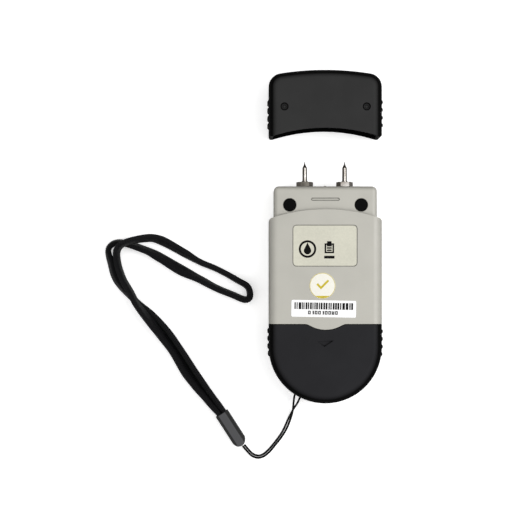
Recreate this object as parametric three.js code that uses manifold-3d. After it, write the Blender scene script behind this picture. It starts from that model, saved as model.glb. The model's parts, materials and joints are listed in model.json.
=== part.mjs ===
// Pin-type moisture meter lying on its display side, with its protective cap pulled off.
// Millimetres. +X is the width, +Y runs towards the pins, +Z is up and out of the back face.
// The origin is on the surface that the meter lies on, below the middle of meter and cap.
import * as THREE from "three";
import { mergeVertices } from "three/addons/utils/BufferGeometryUtils.js";
import Module from "manifold-3d";

// ---------- driving dimensions ----------
const HALF_WIDTH = 27; // half the width of the body
const THICKNESS = 25;
const END_Y = -52.5; // centre of the half-round battery end
const SHOULDER_Y = 13; // crown of the arched shoulder
const SHOULDER_R = 82;
const SHOULDER_CORNER_R = 2;
const EDGE_R = 4.5; // rounding of the long edges
const WALL = 2;
const SPLIT_Z = 12.5; // height at which the two shells meet
const GAP = 0.15; // half the gap kept between neighbouring pieces

const NECK_HALF = 24.6;
const NECK_END = 24;
const NECK_DROP = 2; // how far the neck lies below the body's faces
const NECK_CORNER = 2.4;
const NECK_EDGE_R = 2.3;
const NECK_TOP = THICKNESS - NECK_DROP;

const CAP_TRAVEL = 38.4; // distance that the cap is pulled off
const CAP_WALL = 2.1;
const CAP_CROWN_Y = 41.15; // crown of the cap when it is on
const CAP_CROWN_R = 137;
const CAP_CORNER_R = 6.5;
const CAP_GAP = 0.3; // clearance between the cap and the neck
const CAP_TIP_R = 1.2; // rounding of the tips where the cap's arched edge meets its sides

const PIN_X = 9.6; // half the distance between the electrode pins
const PIN_R = 1.14;
const SHANK_R = 1.5;
const PIN_TIP = 36.4;
const NUT_FLATS = 7;
const NUT_START = 24.15;
const NUT_END = 26.5;

const COVER_Y = -41.6; // edge of the battery cover
const TONGUE_DROP = 2.7; // how far the grey tongue reaches into the cover
const TONGUE_HALF = 9.8;
const GRIP_SKIN = 1.3;
const RIDGE_YS = [-45.2, -48.8, -52.5, -56];
const CAP_RIDGE_YS = [25.9, 22.3, 18.5, 14.9];
const RIDGE_LENGTH = 2.7;
const RIDGE_PROUD = 0.65;
const RIDGE_END = 5.5; // how far the ridges stop short of the faces

const CELLS = 2;
const CELL_R = 10;
const CELL_HEIGHT = 3.2;
const CELL_PITCH = CELL_HEIGHT + 0.05;
const CELL_Y = -59.5;
const FIRST_CELL_Z = 13.05;
const BAY_FLOOR_Z = 12.7;
const BAY_INSET = 4.5;
const BAY_WALL_Y0 = COVER_Y + 0.3;
const BAY_WALL_Y1 = COVER_Y + 1.8;

const BOARD_Z = 8.3; // underside of the circuit board
const BOARD_TOP = BOARD_Z + 1.6;
const BUTTON_R = 4;
const BUTTON_RECESS = 0.5;

const STRAP_WIDTH = 6;
const STRAP_THICKNESS = 2.45;
const CORD_R = 0.45;

// The blocks that cut or keep a part of the body reach beyond it on every side.
const REACH = 40;
const FAR_Y0 = -100;
const FAR_Y1 = 60;

// Screws: [x, y] of the two in the neck and of the two below the battery cover.
const NECK_SCREW = [17, 15.1];
const BAY_SCREW = [18.2, -46.5];
const BOARD_SCREW = [18.3, -30];
const CASE_SCREW = { headR: 2.6, shankR: 1.2, headHeight: 1.7 };
const SMALL_SCREW = { headR: 2, shankR: 0.8, headHeight: 1.2 };
const NECK_SEAT_Z = 19.3; // where the heads of the neck's screws rest
const PLUG = { r: 3, z0: 21.3, z1: NECK_TOP - 0.05 };

// Buttons on the front: name, x, y.
const BUTTONS = [
  ["power", 0, -60],
  ["hold", -9.8, -48],
  ["mode", 9.8, -48],
];

// ---------- solids ----------
const wasm = await Module();
wasm.setup();

// A closed three.js geometry as a manifold solid.
function solid(geometry) {
  const plain = geometry.clone();
  plain.deleteAttribute("normal");
  plain.deleteAttribute("uv");
  const merged = mergeVertices(plain, 1e-4);
  return new wasm.Manifold(
    new wasm.Mesh({
      numProp: 3,
      vertProperties: new Float32Array(merged.attributes.position.array),
      triVerts: new Uint32Array(merged.index.array),
    }),
  );
}

// A manifold solid as a three.js geometry.
function geometryOf(made) {
  const mesh = made.getMesh();
  const geometry = new THREE.BufferGeometry();
  geometry.setAttribute("position", new THREE.BufferAttribute(new Float32Array(mesh.vertProperties), 3));
  geometry.setIndex(new THREE.BufferAttribute(new Uint32Array(mesh.triVerts), 1));
  geometry.computeVertexNormals();
  return geometry;
}

const join = (first, ...rest) => rest.reduce((sum, next) => sum.add(next), first);
const cut = (first, ...rest) => rest.reduce((sum, next) => sum.subtract(next), first);

// An outline in XY raised from z0 to z1, its edges rounded by `round`.
function raised(shape, z0, z1, { round = 0, roundSteps = 3, steps = 8 } = {}) {
  const geometry = new THREE.ExtrudeGeometry(shape, {
    depth: z1 - z0 - 2 * round,
    curveSegments: steps,
    bevelEnabled: round > 0,
    bevelThickness: round,
    bevelSize: round,
    bevelOffset: -round,
    bevelSegments: roundSteps,
  });
  return solid(geometry.translate(0, 0, z0 + round));
}

function box(x0, x1, y0, y1, z0, z1) {
  const geometry = new THREE.BoxGeometry(x1 - x0, y1 - y0, z1 - z0);
  return solid(geometry.translate((x0 + x1) / 2, (y0 + y1) / 2, (z0 + z1) / 2));
}

// A solid of revolution about Z; profile is a list of [radius, z] with z rising.
function turned(profile, segments = 24) {
  const points = profile.map(([r, z]) => new THREE.Vector2(r, z));
  return solid(new THREE.LatheGeometry(points, segments).rotateX(Math.PI / 2));
}

const disc = (r, z0, z1, segments = 24) => turned([[0, z0], [r, z0], [r, z1], [0, z1]], segments);
const tube = (r, bore, z0, z1, segments = 24) =>
  turned([[bore, z0], [r, z0], [r, z1], [bore, z1], [bore, z0]], segments);

// Turns a solid made about Z so that it lies along +Y, its axis at height `z`.
const alongY = (made, x, z) => made.rotate([-90, 0, 0]).translate([x, 0, z]);

// ---------- outlines ----------
function roundedRect(x0, x1, y0, y1, r) {
  const shape = new THREE.Shape();
  shape.moveTo(x0 + r, y0);
  shape.absarc(x1 - r, y0 + r, r, -Math.PI / 2, 0);
  shape.absarc(x1 - r, y1 - r, r, 0, Math.PI / 2);
  shape.absarc(x0 + r, y1 - r, r, Math.PI / 2, Math.PI);
  shape.absarc(x0 + r, y0 + r, r, Math.PI, 1.5 * Math.PI);
  return shape;
}

// The body's outline set in by `inset`, open-ended at `top` above the shoulder.
function bodyOutline(inset, top = 40) {
  const r = HALF_WIDTH - inset;
  const shape = new THREE.Shape();
  shape.moveTo(r, top);
  shape.lineTo(-r, top);
  shape.absarc(0, END_Y, r, Math.PI, 2 * Math.PI);
  return shape;
}

// A strip along Y that ends in a crown at `crownY` with round corners, set in by `inset`.
function crownedOutline(half, crownY, crownR, cornerR, bottomY, inset = 0) {
  const cornerX = half - cornerR;
  const centre = crownY - crownR;
  const cornerY = centre + Math.sqrt((crownR - cornerR) ** 2 - cornerX ** 2);
  const lean = Math.atan2(cornerY - centre, cornerX);
  const shape = new THREE.Shape();
  shape.moveTo(inset - half, bottomY);
  shape.lineTo(half - inset, bottomY);
  shape.absarc(cornerX, cornerY, cornerR - inset, 0, lean);
  shape.absarc(0, centre, crownR - inset, lean, Math.PI - lean);
  shape.absarc(-cornerX, cornerY, cornerR - inset, Math.PI - lean, Math.PI);
  return shape;
}

// The cap's outline when it is on, set in by `inset`.
const capOutline = (inset) =>
  crownedOutline(HALF_WIDTH, CAP_CROWN_Y, CAP_CROWN_R, CAP_CORNER_R, -10, inset);

// Everything below the arched shoulder whose crown is at `crown`, as wide as 2 * half.
function belowShoulder(crown, half, cornerR) {
  const outline = crownedOutline(half, crown, SHOULDER_R, cornerR, FAR_Y0);
  return raised(outline, -1, THICKNESS + 1, { steps: 10 });
}

// Everything below the edge between shell and battery cover, moved down by `drop`.
// The edge bulges down in its middle as a rounded tongue.
function belowCoverEdge(drop) {
  const y = COVER_Y - drop;
  const tip = y - TONGUE_DROP;
  const shape = new THREE.Shape();
  shape.moveTo(-REACH, FAR_Y0);
  shape.lineTo(REACH, FAR_Y0);
  shape.lineTo(REACH, y);
  shape.lineTo(TONGUE_HALF, y);
  shape.bezierCurveTo(0.78 * TONGUE_HALF, y, 0.58 * TONGUE_HALF, tip, 0, tip);
  shape.bezierCurveTo(-0.58 * TONGUE_HALF, tip, -0.78 * TONGUE_HALF, y, -TONGUE_HALF, y);
  shape.lineTo(-REACH, y);
  return raised(shape, -1, THICKNESS + 1, { steps: 6 });
}

// ---------- shared volumes ----------
// A grip ridge on the side of the body: an upright oval bar, sunk so that it stands a little proud.
function ridge(x, y) {
  const half = RIDGE_LENGTH / 2;
  const corners = [];
  for (let i = 0; i < 8; i++) {
    const a = (2 * Math.PI * (i + 0.5)) / 8;
    corners.push(new THREE.Vector2(half * Math.cos(a), half * Math.sin(a)));
  }
  const rounding = { round: 0.6, roundSteps: 1 };
  const bar = raised(new THREE.Shape(corners), RIDGE_END, THICKNESS - RIDGE_END, rounding);
  const sink = Math.sign(x) * (half - RIDGE_PROUD);
  return bar.translate([x - sink, y, 0]);
}

const sideX = (y) => (y > END_Y ? HALF_WIDTH : Math.sqrt(HALF_WIDTH ** 2 - (END_Y - y) ** 2));
const endRidges = RIDGE_YS.flatMap((y) => [ridge(sideX(y), y), ridge(-sideX(y), y)]);

const neck = raised(
  roundedRect(-NECK_HALF, NECK_HALF, -6, NECK_END, NECK_CORNER),
  NECK_DROP,
  NECK_TOP,
  { round: NECK_EDGE_R, roundSteps: 2, steps: 3 },
);
const mainBody = raised(bodyOutline(0), 0, THICKNESS, { round: EDGE_R, steps: 24 });
const belowBodyShoulder = belowShoulder(SHOULDER_Y, HALF_WIDTH, SHOULDER_CORNER_R);
const body = join(mainBody.intersect(belowBodyShoulder), neck, ...endRidges);

const frontHalf = box(-REACH, REACH, FAR_Y0, FAR_Y1, -1, SPLIT_Z - GAP);
const backHalf = box(-REACH, REACH, FAR_Y0, FAR_Y1, SPLIT_Z + GAP, THICKNESS + 1);

// Inside of the shells above the battery end, and inside of the neck.
const insideWall = raised(bodyOutline(WALL), WALL, THICKNESS - WALL, {
  round: EDGE_R - WALL,
  roundSteps: 1,
  steps: 2,
});
const roomMain = cut(
  insideWall.intersect(belowShoulder(SHOULDER_Y - WALL, REACH, 1)),
  box(-REACH, REACH, FAR_Y0, BAY_WALL_Y1, -1, THICKNESS + 1),
);
const roomNeck = box(
  -NECK_HALF + WALL,
  NECK_HALF - WALL,
  -5,
  NECK_END - WALL,
  NECK_DROP + WALL,
  NECK_TOP - WALL,
);
const room = join(roomMain, roomNeck);

// Inset copies of the battery end: the shell below the front grip, and the room inside it.
const END_SHELL_INSET = GRIP_SKIN + GAP;
const END_ROOM_INSET = END_SHELL_INSET + 1.6;
const endShell = raised(bodyOutline(END_SHELL_INSET), END_SHELL_INSET, THICKNESS, {
  round: EDGE_R - END_SHELL_INSET,
  roundSteps: 2,
  steps: 16,
});
const endRoom = raised(bodyOutline(END_ROOM_INSET), END_ROOM_INSET, THICKNESS + 1, {
  round: EDGE_R - END_ROOM_INSET,
  roundSteps: 1,
  steps: 14,
});

// The two holes that the lanyard cord is looped through, side by side in the end wall.
const LUG_Z = 6;
const LUG_ANGLE = THREE.MathUtils.degToRad(242.4);
const LUG_STEP = THREE.MathUtils.degToRad(3);
const LUG_BORE_R = 0.85;
function lugBore(side) {
  const angle = LUG_ANGLE + side * LUG_STEP;
  const bore = disc(LUG_BORE_R, -4.5, 3, 12).rotate([0, 90, 0]);
  return bore
    .rotate([0, 0, THREE.MathUtils.radToDeg(LUG_ANGLE)])
    .translate([HALF_WIDTH * Math.cos(angle), END_Y + HALF_WIDTH * Math.sin(angle), LUG_Z]);
}
const lugBores = [lugBore(-1), lugBore(1)];

const pinHoles = [-PIN_X, PIN_X].map((x) => alongY(disc(SHANK_R + 0.4, 20, 26, 16), x, SPLIT_Z));

// ---------- front ----------
const WINDOW = { x: 17, y0: -20.5, y1: 2.5, depth: 1.5 };
const windowSeat = raised(
  roundedRect(-WINDOW.x - 0.2, WINDOW.x + 0.2, WINDOW.y0 - 0.2, WINDOW.y1 + 0.2, 2.2),
  -1,
  WINDOW.depth,
  { steps: 4 },
);
const windowOpening = raised(roundedRect(-14.5, 14.5, -17.5, -0.5, 1), -1, 4, { steps: 3 });
const buttonHoles = BUTTONS.map(([, x, y]) => disc(BUTTON_R + 0.25, -1, 5, 20).translate([x, y, 0]));

// A screw post with a blind hole in its top.
function post(x, y, z0, z1, r = 3, bore = 1.5) {
  const stem = disc(r, z0, z1, 16);
  const hole = disc(bore, z0 + 1.5, z1 + 1, 12);
  return [stem, hole].map((made) => made.translate([x, y, 0]));
}

function frontShell() {
  const grey = body.intersect(box(-REACH, REACH, COVER_Y + GAP, FAR_Y1, -1, THICKNESS + 1));
  const end = endShell.intersect(box(-REACH, REACH, FAR_Y0, COVER_Y + 2, -1, THICKNESS + 1));
  const posts = [-1, 1].flatMap((side) => [
    post(side * NECK_SCREW[0], NECK_SCREW[1], NECK_DROP + 1, SPLIT_Z - GAP),
    post(side * BAY_SCREW[0], BAY_SCREW[1], END_ROOM_INSET - 1, 11),
    post(side * BOARD_SCREW[0], BOARD_SCREW[1], WALL - 1, BOARD_Z - 0.1, 2.4, 1.1),
  ]);
  const endSpace = endRoom.intersect(box(-REACH, REACH, FAR_Y0, COVER_Y + 2.6, -1, THICKNESS + 1));
  const tub = cut(join(grey, end).intersect(frontHalf), room, endSpace);
  const withPosts = join(tub, ...posts.map(([stem]) => stem));
  const bores = posts.map(([, bore]) => bore);
  return cut(withPosts, ...bores, windowSeat, windowOpening, ...buttonHoles, ...lugBores, ...pinHoles);
}

function frontGrip() {
  const inner = raised(bodyOutline(GRIP_SKIN), GRIP_SKIN, THICKNESS, {
    round: EDGE_R - GRIP_SKIN,
    roundSteps: 2,
    steps: 16,
  });
  const end = body.intersect(box(-REACH, REACH, FAR_Y0, COVER_Y - GAP, -1, SPLIT_Z - GAP));
  return cut(end, inner, ...buttonHoles, ...lugBores);
}

// ---------- back ----------
const LABEL = { x: -0.3, y: -4.3, halfWidth: 15.15, halfHeight: 9.65, r: 1.7, recess: 0.35 };
function labelOutline(margin) {
  const w = LABEL.halfWidth + margin;
  const h = LABEL.halfHeight + margin;
  return roundedRect(LABEL.x - w, LABEL.x + w, LABEL.y - h, LABEL.y + h, LABEL.r + margin);
}

// The tab that holds the battery cover, and the slot below the neck's pins.
const TAB = { half: 5, z0: 21, z1: 22.3, start: -48, end: -38.3 };
const SLOT = { half: 6.75, y0: 17.1, y1: 18.5, depth: 0.8 };

function backShell() {
  const grey = cut(body.intersect(backHalf), belowCoverEdge(-GAP), room);
  const stems = [-1, 1].map((side) =>
    disc(4, SPLIT_Z + GAP, NECK_TOP - 1, 20).translate([side * NECK_SCREW[0], NECK_SCREW[1], 0]),
  );
  const sinks = [-1, 1].flatMap((side) => [
    disc(PLUG.r + GAP, NECK_SEAT_Z, NECK_TOP + 1, 24).translate([side * NECK_SCREW[0], NECK_SCREW[1], 0]),
    disc(1.6, SPLIT_Z - 1, NECK_SEAT_Z + 0.7, 12).translate([side * NECK_SCREW[0], NECK_SCREW[1], 0]),
  ]);
  // The battery bay: a floor inside the round end, a wall that carries it and a ring round the cells.
  const floorZ = BAY_FLOOR_Z - 1.5;
  const floor = raised(bodyOutline(BAY_INSET, BAY_WALL_Y1), floorZ, BAY_FLOOR_Z, { steps: 14 });
  const half = HALF_WIDTH - BAY_INSET;
  const wall = box(-half, half, BAY_WALL_Y0, BAY_WALL_Y1, floorZ, THICKNESS - 1.5);
  const ring = tube(CELL_R + 2, CELL_R + 0.4, BAY_FLOOR_Z - 0.5, 19, 20).translate([0, CELL_Y, 0]);
  const ringNotch = box(CELL_R - 2, CELL_R + 3, CELL_Y - 2.6, CELL_Y + 2.6, BAY_FLOOR_Z, 20);
  const bayHoles = [-1, 1].map((side) =>
    disc(1.6, 10, 14, 12).translate([side * BAY_SCREW[0], BAY_SCREW[1], 0]),
  );
  const tabWindow = box(-TAB.half - 0.6, TAB.half + 0.6, -45, COVER_Y + 2, TAB.z0 - 0.6, TAB.z1 + 0.5);
  const recess = raised(labelOutline(0.1), THICKNESS - LABEL.recess, THICKNESS + 1, { steps: 4 });
  const slotOutline = roundedRect(-SLOT.half, SLOT.half, SLOT.y0, SLOT.y1, 0.69);
  const slot = raised(slotOutline, NECK_TOP - SLOT.depth, NECK_TOP + 1, { steps: 4 });
  const nub = raised(
    new THREE.Shape([
      new THREE.Vector2(-1.1, NECK_END - 0.3),
      new THREE.Vector2(1.1, NECK_END - 0.3),
      new THREE.Vector2(0, NECK_END + 0.7),
    ]),
    SPLIT_Z + GAP,
    17,
  );
  const whole = join(grey, ...stems, floor, wall, ring, nub);
  return cut(whole, ...sinks, ringNotch, ...bayHoles, tabWindow, recess, slot, ...pinHoles);
}

function batteryCover() {
  const roof = THICKNESS - WALL - 0.1;
  const inner = raised(bodyOutline(WALL), WALL, roof, { round: EDGE_R - WALL, roundSteps: 2, steps: 16 });
  const skin = cut(body.intersect(backHalf).intersect(belowCoverEdge(GAP)), inner);
  const tab = join(
    box(-TAB.half, TAB.half, TAB.start, TAB.end, TAB.z0, TAB.z1),
    box(-TAB.half, TAB.half, TAB.start, TAB.start + 2.5, TAB.z0 + 0.5, roof + 0.6),
  );
  const arrow = raised(
    new THREE.Shape([
      new THREE.Vector2(-4.1, -49.7),
      new THREE.Vector2(-0.6, -52.3),
      new THREE.Vector2(3.8, -49.3),
    ]),
    THICKNESS - 0.4,
    THICKNESS + 1,
  );
  return cut(skin.add(tab), arrow);
}

// ---------- cap ----------
// What rounds the tip between the cap's right side and its arched edge.
function capTip() {
  const centre = SHOULDER_Y + CAP_GAP - SHOULDER_R;
  const x = HALF_WIDTH - CAP_TIP_R;
  const y = centre + Math.sqrt((SHOULDER_R + CAP_TIP_R) ** 2 - x ** 2);
  const lean = Math.atan2(y - centre, x);
  const shape = new THREE.Shape();
  shape.moveTo(x - 1.5, y - 4);
  shape.lineTo(HALF_WIDTH + 1, y - 4);
  shape.lineTo(HALF_WIDTH + 1, y);
  shape.absarc(x, y, CAP_TIP_R, 0, lean - Math.PI, true);
  return raised(shape, -1, THICKNESS + 1, { steps: 4 });
}

const DIMPLE = { x: 19.5, y: 23.3, r: 1.9, depth: 0.35, pitR: 0.95, pitDepth: 1.1 };
function protectiveCap() {
  const outside = raised(capOutline(0), 0, THICKNESS, { round: EDGE_R, steps: 8 });
  const inside = raised(capOutline(CAP_WALL), NECK_DROP - CAP_GAP, NECK_TOP + CAP_GAP, {
    round: NECK_EDGE_R + CAP_GAP,
    roundSteps: 2,
    steps: 5,
  });
  const belowEdge = belowShoulder(SHOULDER_Y + CAP_GAP, REACH, 1);
  const ridges = CAP_RIDGE_YS.flatMap((y) => [ridge(HALF_WIDTH, y), ridge(-HALF_WIDTH, y)]);
  const shell = cut(join(outside, ...ridges), inside, belowEdge, capTip(), capTip().mirror([1, 0, 0]));
  const bowl = disc(DIMPLE.r, THICKNESS - DIMPLE.depth, THICKNESS + 1, 16);
  const pit = disc(DIMPLE.pitR, THICKNESS - DIMPLE.pitDepth, THICKNESS + 1, 12);
  const dimples = [-1, 1].map((side) => bowl.add(pit).translate([side * DIMPLE.x, DIMPLE.y, 0]));
  return cut(shell, ...dimples).translate([0, CAP_TRAVEL, 0]);
}

// ---------- electrodes ----------
const SOCKET = { r: 2.5, bore: 1.8, start: 13, end: 21.7 };
const BLOCK = { halfWidth: 12.6, y0: 13.3, y1: 21.7, z0: 7.5, z1: 17.5 };

function electrodePin() {
  const profile = [
    [0, SOCKET.start + 0.6],
    [SHANK_R, SOCKET.start + 0.6],
    [SHANK_R, NUT_END + 0.1],
    [PIN_R, NUT_END + 0.1],
    [PIN_R, PIN_TIP - 3.05],
    [0.46, PIN_TIP - 1.8],
    [0, PIN_TIP],
  ];
  return turned(profile, 16);
}

const pinSocket = () => tube(SOCKET.r, SOCKET.bore, SOCKET.start, SOCKET.end, 20);

function pinNut() {
  const cornerR = NUT_FLATS / Math.sqrt(3);
  const faceR = NUT_FLATS / 2 + 0.1;
  const chamfer = 0.35;
  const hexagon = disc(cornerR, NUT_START, NUT_END, 6).rotate([0, 0, 90]);
  const profile = [
    [0, NUT_START],
    [faceR, NUT_START],
    [cornerR, NUT_START + chamfer],
    [cornerR, NUT_END - chamfer],
    [faceR, NUT_END],
    [0, NUT_END],
  ];
  return cut(hexagon.intersect(turned(profile, 18)), disc(SHANK_R + 0.25, 20, 30, 16));
}

function electrodeBlock() {
  const bores = [-PIN_X, PIN_X].map((x) => alongY(disc(SOCKET.r + 0.2, 10, 25, 20), x, SPLIT_Z));
  const { halfWidth, y0, y1, z0, z1 } = BLOCK;
  return cut(box(-halfWidth, halfWidth, y0, y1, z0, z1), ...bores);
}

// ---------- fasteners ----------
// A pan-head screw with a cross recess, its head's underside at `seat` and its point at `tip`.
function screw(tip, seat, { headR, shankR, headHeight }) {
  const top = seat + headHeight;
  const profile = [
    [0, tip],
    [shankR * 0.5, tip],
    [shankR, tip + 1],
    [shankR, seat],
    [headR, seat],
    [headR, top - 0.4],
    [headR - 0.6, top],
    [0, top],
  ];
  const arm = headR * 0.55;
  const half = 0.3;
  const floor = top - 0.8;
  const along = box(-arm, arm, -half, half, floor, top + 1);
  const across = box(-half, half, -arm, arm, floor, top + 1);
  return cut(turned(profile, 10), along, across);
}

// ---------- sections swept along a route ----------
// A smooth curve through its points, with the roll of the section given at each of them.
class Route extends THREE.CatmullRomCurve3 {
  constructor(points, rolls) {
    super(points.map((p) => new THREE.Vector3(...p)), false, "centripetal");
    this.rolls = rolls;
  }
  // The roll in radians at `u` along the length.
  rollAt(u) {
    const t = this.getUtoTmapping(u) * (this.rolls.length - 1);
    const i = Math.min(Math.floor(t), this.rolls.length - 2);
    const s = t - i;
    const ease = s * s * (3 - 2 * s);
    return THREE.MathUtils.degToRad(this.rolls[i] + (this.rolls[i + 1] - this.rolls[i]) * ease);
  }
  // Turns the section: its first axis, the width, is level at roll 0 and upright at roll 90.
  computeFrenetFrames(steps) {
    const up = new THREE.Vector3(0, 0, 1);
    const tangents = [];
    const normals = [];
    const binormals = [];
    for (let i = 0; i <= steps; i++) {
      const u = i / steps;
      const tangent = this.getTangentAt(u);
      const side = up.clone().cross(tangent).normalize();
      const roll = this.rolls ? this.rollAt(u) : 0;
      const normal = side.applyAxisAngle(tangent, roll).normalize();
      tangents.push(tangent);
      normals.push(normal);
      binormals.push(tangent.clone().cross(normal).normalize());
    }
    return { tangents, normals, binormals };
  }
}

function ovalSection(width, thickness, sides) {
  const corners = [];
  for (let i = 0; i < sides; i++) {
    const a = (2 * Math.PI * (i + 0.5)) / sides;
    const flat = (v) => Math.sign(v) * Math.min(1, Math.abs(v) * 1.08);
    corners.push(new THREE.Vector2(flat(Math.cos(a)) * width * 0.5, flat(Math.sin(a)) * thickness * 0.5));
  }
  return new THREE.Shape(corners);
}

function swept(section, route, steps) {
  return solid(new THREE.ExtrudeGeometry(section, { steps, extrudePath: route, bevelEnabled: false }));
}

// ---------- wrist strap ----------
// The webbing is one closed loop; both of its ends go into the ferrule. Each row is
// [x, y, lift above the table, roll in degrees]; 0 is flat on the table, 90 stands on edge.
const STRAP_ROUTE = [
  [-51.3, -86.2, 0.45, 84],
  [-56.9, -79, 0.1, 74],
  [-62.9, -71.5, 0, 60],
  [-67, -66, 0, 54],
  [-73.2, -55.3, 0, 54],
  [-77.1, -50.1, 0.4, 54],
  [-81.9, -44.2, 2.8, 64],
  [-90.6, -32.8, 6.9, 78],
  [-93.8, -26.8, 5.8, 80],
  [-97.7, -20.4, 3.4, 80],
  [-100.3, -12.8, 2.6, 80],
  [-100.6, -7.2, 4, 80],
  [-98.4, -3.9, 6.7, 80],
  [-94.2, -2, 6.9, 78],
  [-83.7, -0.4, 1.8, 70],
  [-79, -1.7, 0.3, 60],
  [-68.5, -7.4, 0, 66],
  [-60.5, -12, 0, 82],
  [-52.2, -15.5, 0, 84],
  [-42.4, -20.8, 0, 82],
  [-36.9, -24.5, 0, 80],
  [-36.2, -29.2, 0, 80],
  [-38, -30.4, 0, 80],
  [-44.6, -28, 0, 80],
  [-52.6, -24.7, 0, 78],
  [-60.5, -20.5, 0, 72],
  [-70.2, -15.7, 0, 50],
  [-80.2, -9.7, 0, 60],
  [-87.4, -6.1, 0, 74],
  [-101.2, -2.6, 0, 80],
  [-105, -5.6, 0, 80],
  [-103.8, -12.4, 0, 70],
  [-101.2, -20.6, 0, 70],
  [-90.9, -31.9, 0, 76],
  [-84, -37.4, 0.3, 78],
  [-76, -45.7, 1.1, 80],
  [-69.1, -55.4, 1.2, 82],
  [-62, -66.4, 0.8, 80],
  [-54.5, -77.2, 0.4, 82],
  [-48.7, -84.5, 0.45, 86],
];
const STRAP_CLEARANCE = 0.15; // kept between the strap and the surface that it lies on

// Height of the strap's middle when its lower edge touches the table.
function strapRest(roll) {
  const a = THREE.MathUtils.degToRad(roll);
  return 0.5 * (STRAP_WIDTH * Math.sin(a) + STRAP_THICKNESS * Math.cos(a)) + STRAP_CLEARANCE;
}

function wristStrap() {
  const points = STRAP_ROUTE.map(([x, y, lift, roll]) => [x, y, strapRest(roll) + lift]);
  const rolls = STRAP_ROUTE.map(([, , , roll]) => roll);
  return swept(ovalSection(STRAP_WIDTH, STRAP_THICKNESS, 8), new Route(points, rolls), 80);
}

const FERRULE = { x: -49.85, y: -85.75, length: 18.4, half: 3.3, height: 7.3, heading: -57.2 };
const FERRULE_CHAMFER = 1.5;
const FERRULE_LIFT = 0.05;
function strapFerrule() {
  const { length, half, height } = FERRULE;
  const outline = new THREE.Shape();
  outline.moveTo(0, -half);
  outline.absarc(length - 3, 0, half, -Math.PI / 2, Math.PI / 2);
  outline.lineTo(0, half);
  const blank = raised(outline, 0, height, { steps: 10 });
  // The octagonal section, drawn in YZ and pushed along the ferrule.
  const low = FERRULE_CHAMFER;
  const corners = [
    [low - half, 0],
    [half - low, 0],
    [half, low],
    [half, height - low],
    [half - low, height],
    [low - half, height],
    [-half, height - low],
    [-half, low],
  ];
  const section = new THREE.Shape(corners.map(([y, z]) => new THREE.Vector2(y, z)));
  const bar = raised(section, -1, length + 1).rotate([90, 0, 90]);
  const made = blank.intersect(bar).rotate([0, 0, FERRULE.heading]);
  return made.translate([FERRULE.x, FERRULE.y, FERRULE_LIFT]);
}

// The two legs of the thin cord, from the lug holes to the ferrule.
const CORD_ROUTES = {
  left: [
    [-13.3, -74.9, 6],
    [-14.3, -76.9, 6],
    [-14.7, -79.4, 5.4],
    [-14.9, -82, 3.8],
    [-15.3, -85.5, 1.6],
    [-16.3, -89.1, 0.7],
    [-18, -93.4, 0.6],
    [-20.4, -97.4, 0.6],
    [-23.8, -101.8, 0.6],
    [-26.6, -105.1, 0.6],
    [-29.7, -107.4, 0.6],
    [-32.4, -107.9, 0.7],
    [-35.2, -106.8, 1.2],
    [-37.8, -104.1, 2],
    [-39.6, -101.9, 2.6],
  ],
  right: [
    [-10.8, -76.2, 6],
    [-11.8, -78.2, 6],
    [-13, -80.7, 5.6],
    [-14.8, -83.6, 4.4],
    [-16.3, -86.6, 2.2],
    [-17.7, -89.6, 0.8],
    [-19.2, -93.1, 0.6],
    [-21.3, -96.8, 0.6],
    [-24.5, -101, 0.6],
    [-27.2, -104.1, 0.6],
    [-29.8, -106.2, 0.6],
    [-32.1, -106.8, 0.7],
    [-34.7, -105.8, 1.2],
    [-37, -103.4, 2],
    [-38.7, -101.3, 2.6],
  ],
};

function lanyardCord(points) {
  return swept(ovalSection(2 * CORD_R, 2 * CORD_R, 8), new Route(points), 22);
}

// ---------- display and electronics ----------
const DISPLAY_Y = (WINDOW.y0 + WINDOW.y1) / 2;
const BOARD = { half: 21, y1: 10.5, endY: -50, postHoleR: 3.6, screwHoleR: 1.4 };
const GLASS = { halfX: 16.4, halfY: 11, z0: 2.4, z1: 5 };
const FRAME_WALL = 1.2;
const STRIP = { half: 15, offset: 9.6, z0: GLASS.z1 + 0.2 };
const SWITCH = { half: 3, z0: 5.4, stemR: 1.7, stemZ: 4.95 };
const BUZZER = { r: 6, height: 4.5, x: 8, y: -30 };
const PROCESSOR = { half: 6, y: -10, height: 1.4 };

function circuitBoard() {
  const outline = new THREE.Shape();
  outline.moveTo(BOARD.half, BOARD.y1);
  outline.lineTo(-BOARD.half, BOARD.y1);
  outline.absarc(0, BOARD.endY, BOARD.half, Math.PI, 2 * Math.PI);
  const board = raised(outline, BOARD_Z, BOARD_TOP, { steps: 14 });
  const through = [BOARD_Z - 1, BOARD_TOP + 1];
  const holes = [-1, 1].flatMap((side) => [
    disc(BOARD.postHoleR, ...through, 16).translate([side * BAY_SCREW[0], BAY_SCREW[1], 0]),
    disc(BOARD.screwHoleR, ...through, 12).translate([side * BOARD_SCREW[0], BOARD_SCREW[1], 0]),
  ]);
  return cut(board, ...holes);
}

// A block round the middle of the display, as deep as the glass and its frame.
function displayBlock(margin, z0, z1) {
  const x = GLASS.halfX + margin;
  const y = GLASS.halfY + margin;
  return box(-x, x, DISPLAY_Y - y, DISPLAY_Y + y, z0, z1);
}

function displayFrame() {
  const outer = displayBlock(FRAME_WALL + 0.2, GLASS.z0 - 0.1, BOARD_Z - 0.1);
  return cut(outer, displayBlock(0.2, 0, BOARD_Z));
}

function contactStrip(side) {
  const y = DISPLAY_Y + side * STRIP.offset;
  return box(-STRIP.half, STRIP.half, y - 1, y + 1, STRIP.z0, BOARD_Z - 0.1);
}

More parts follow.
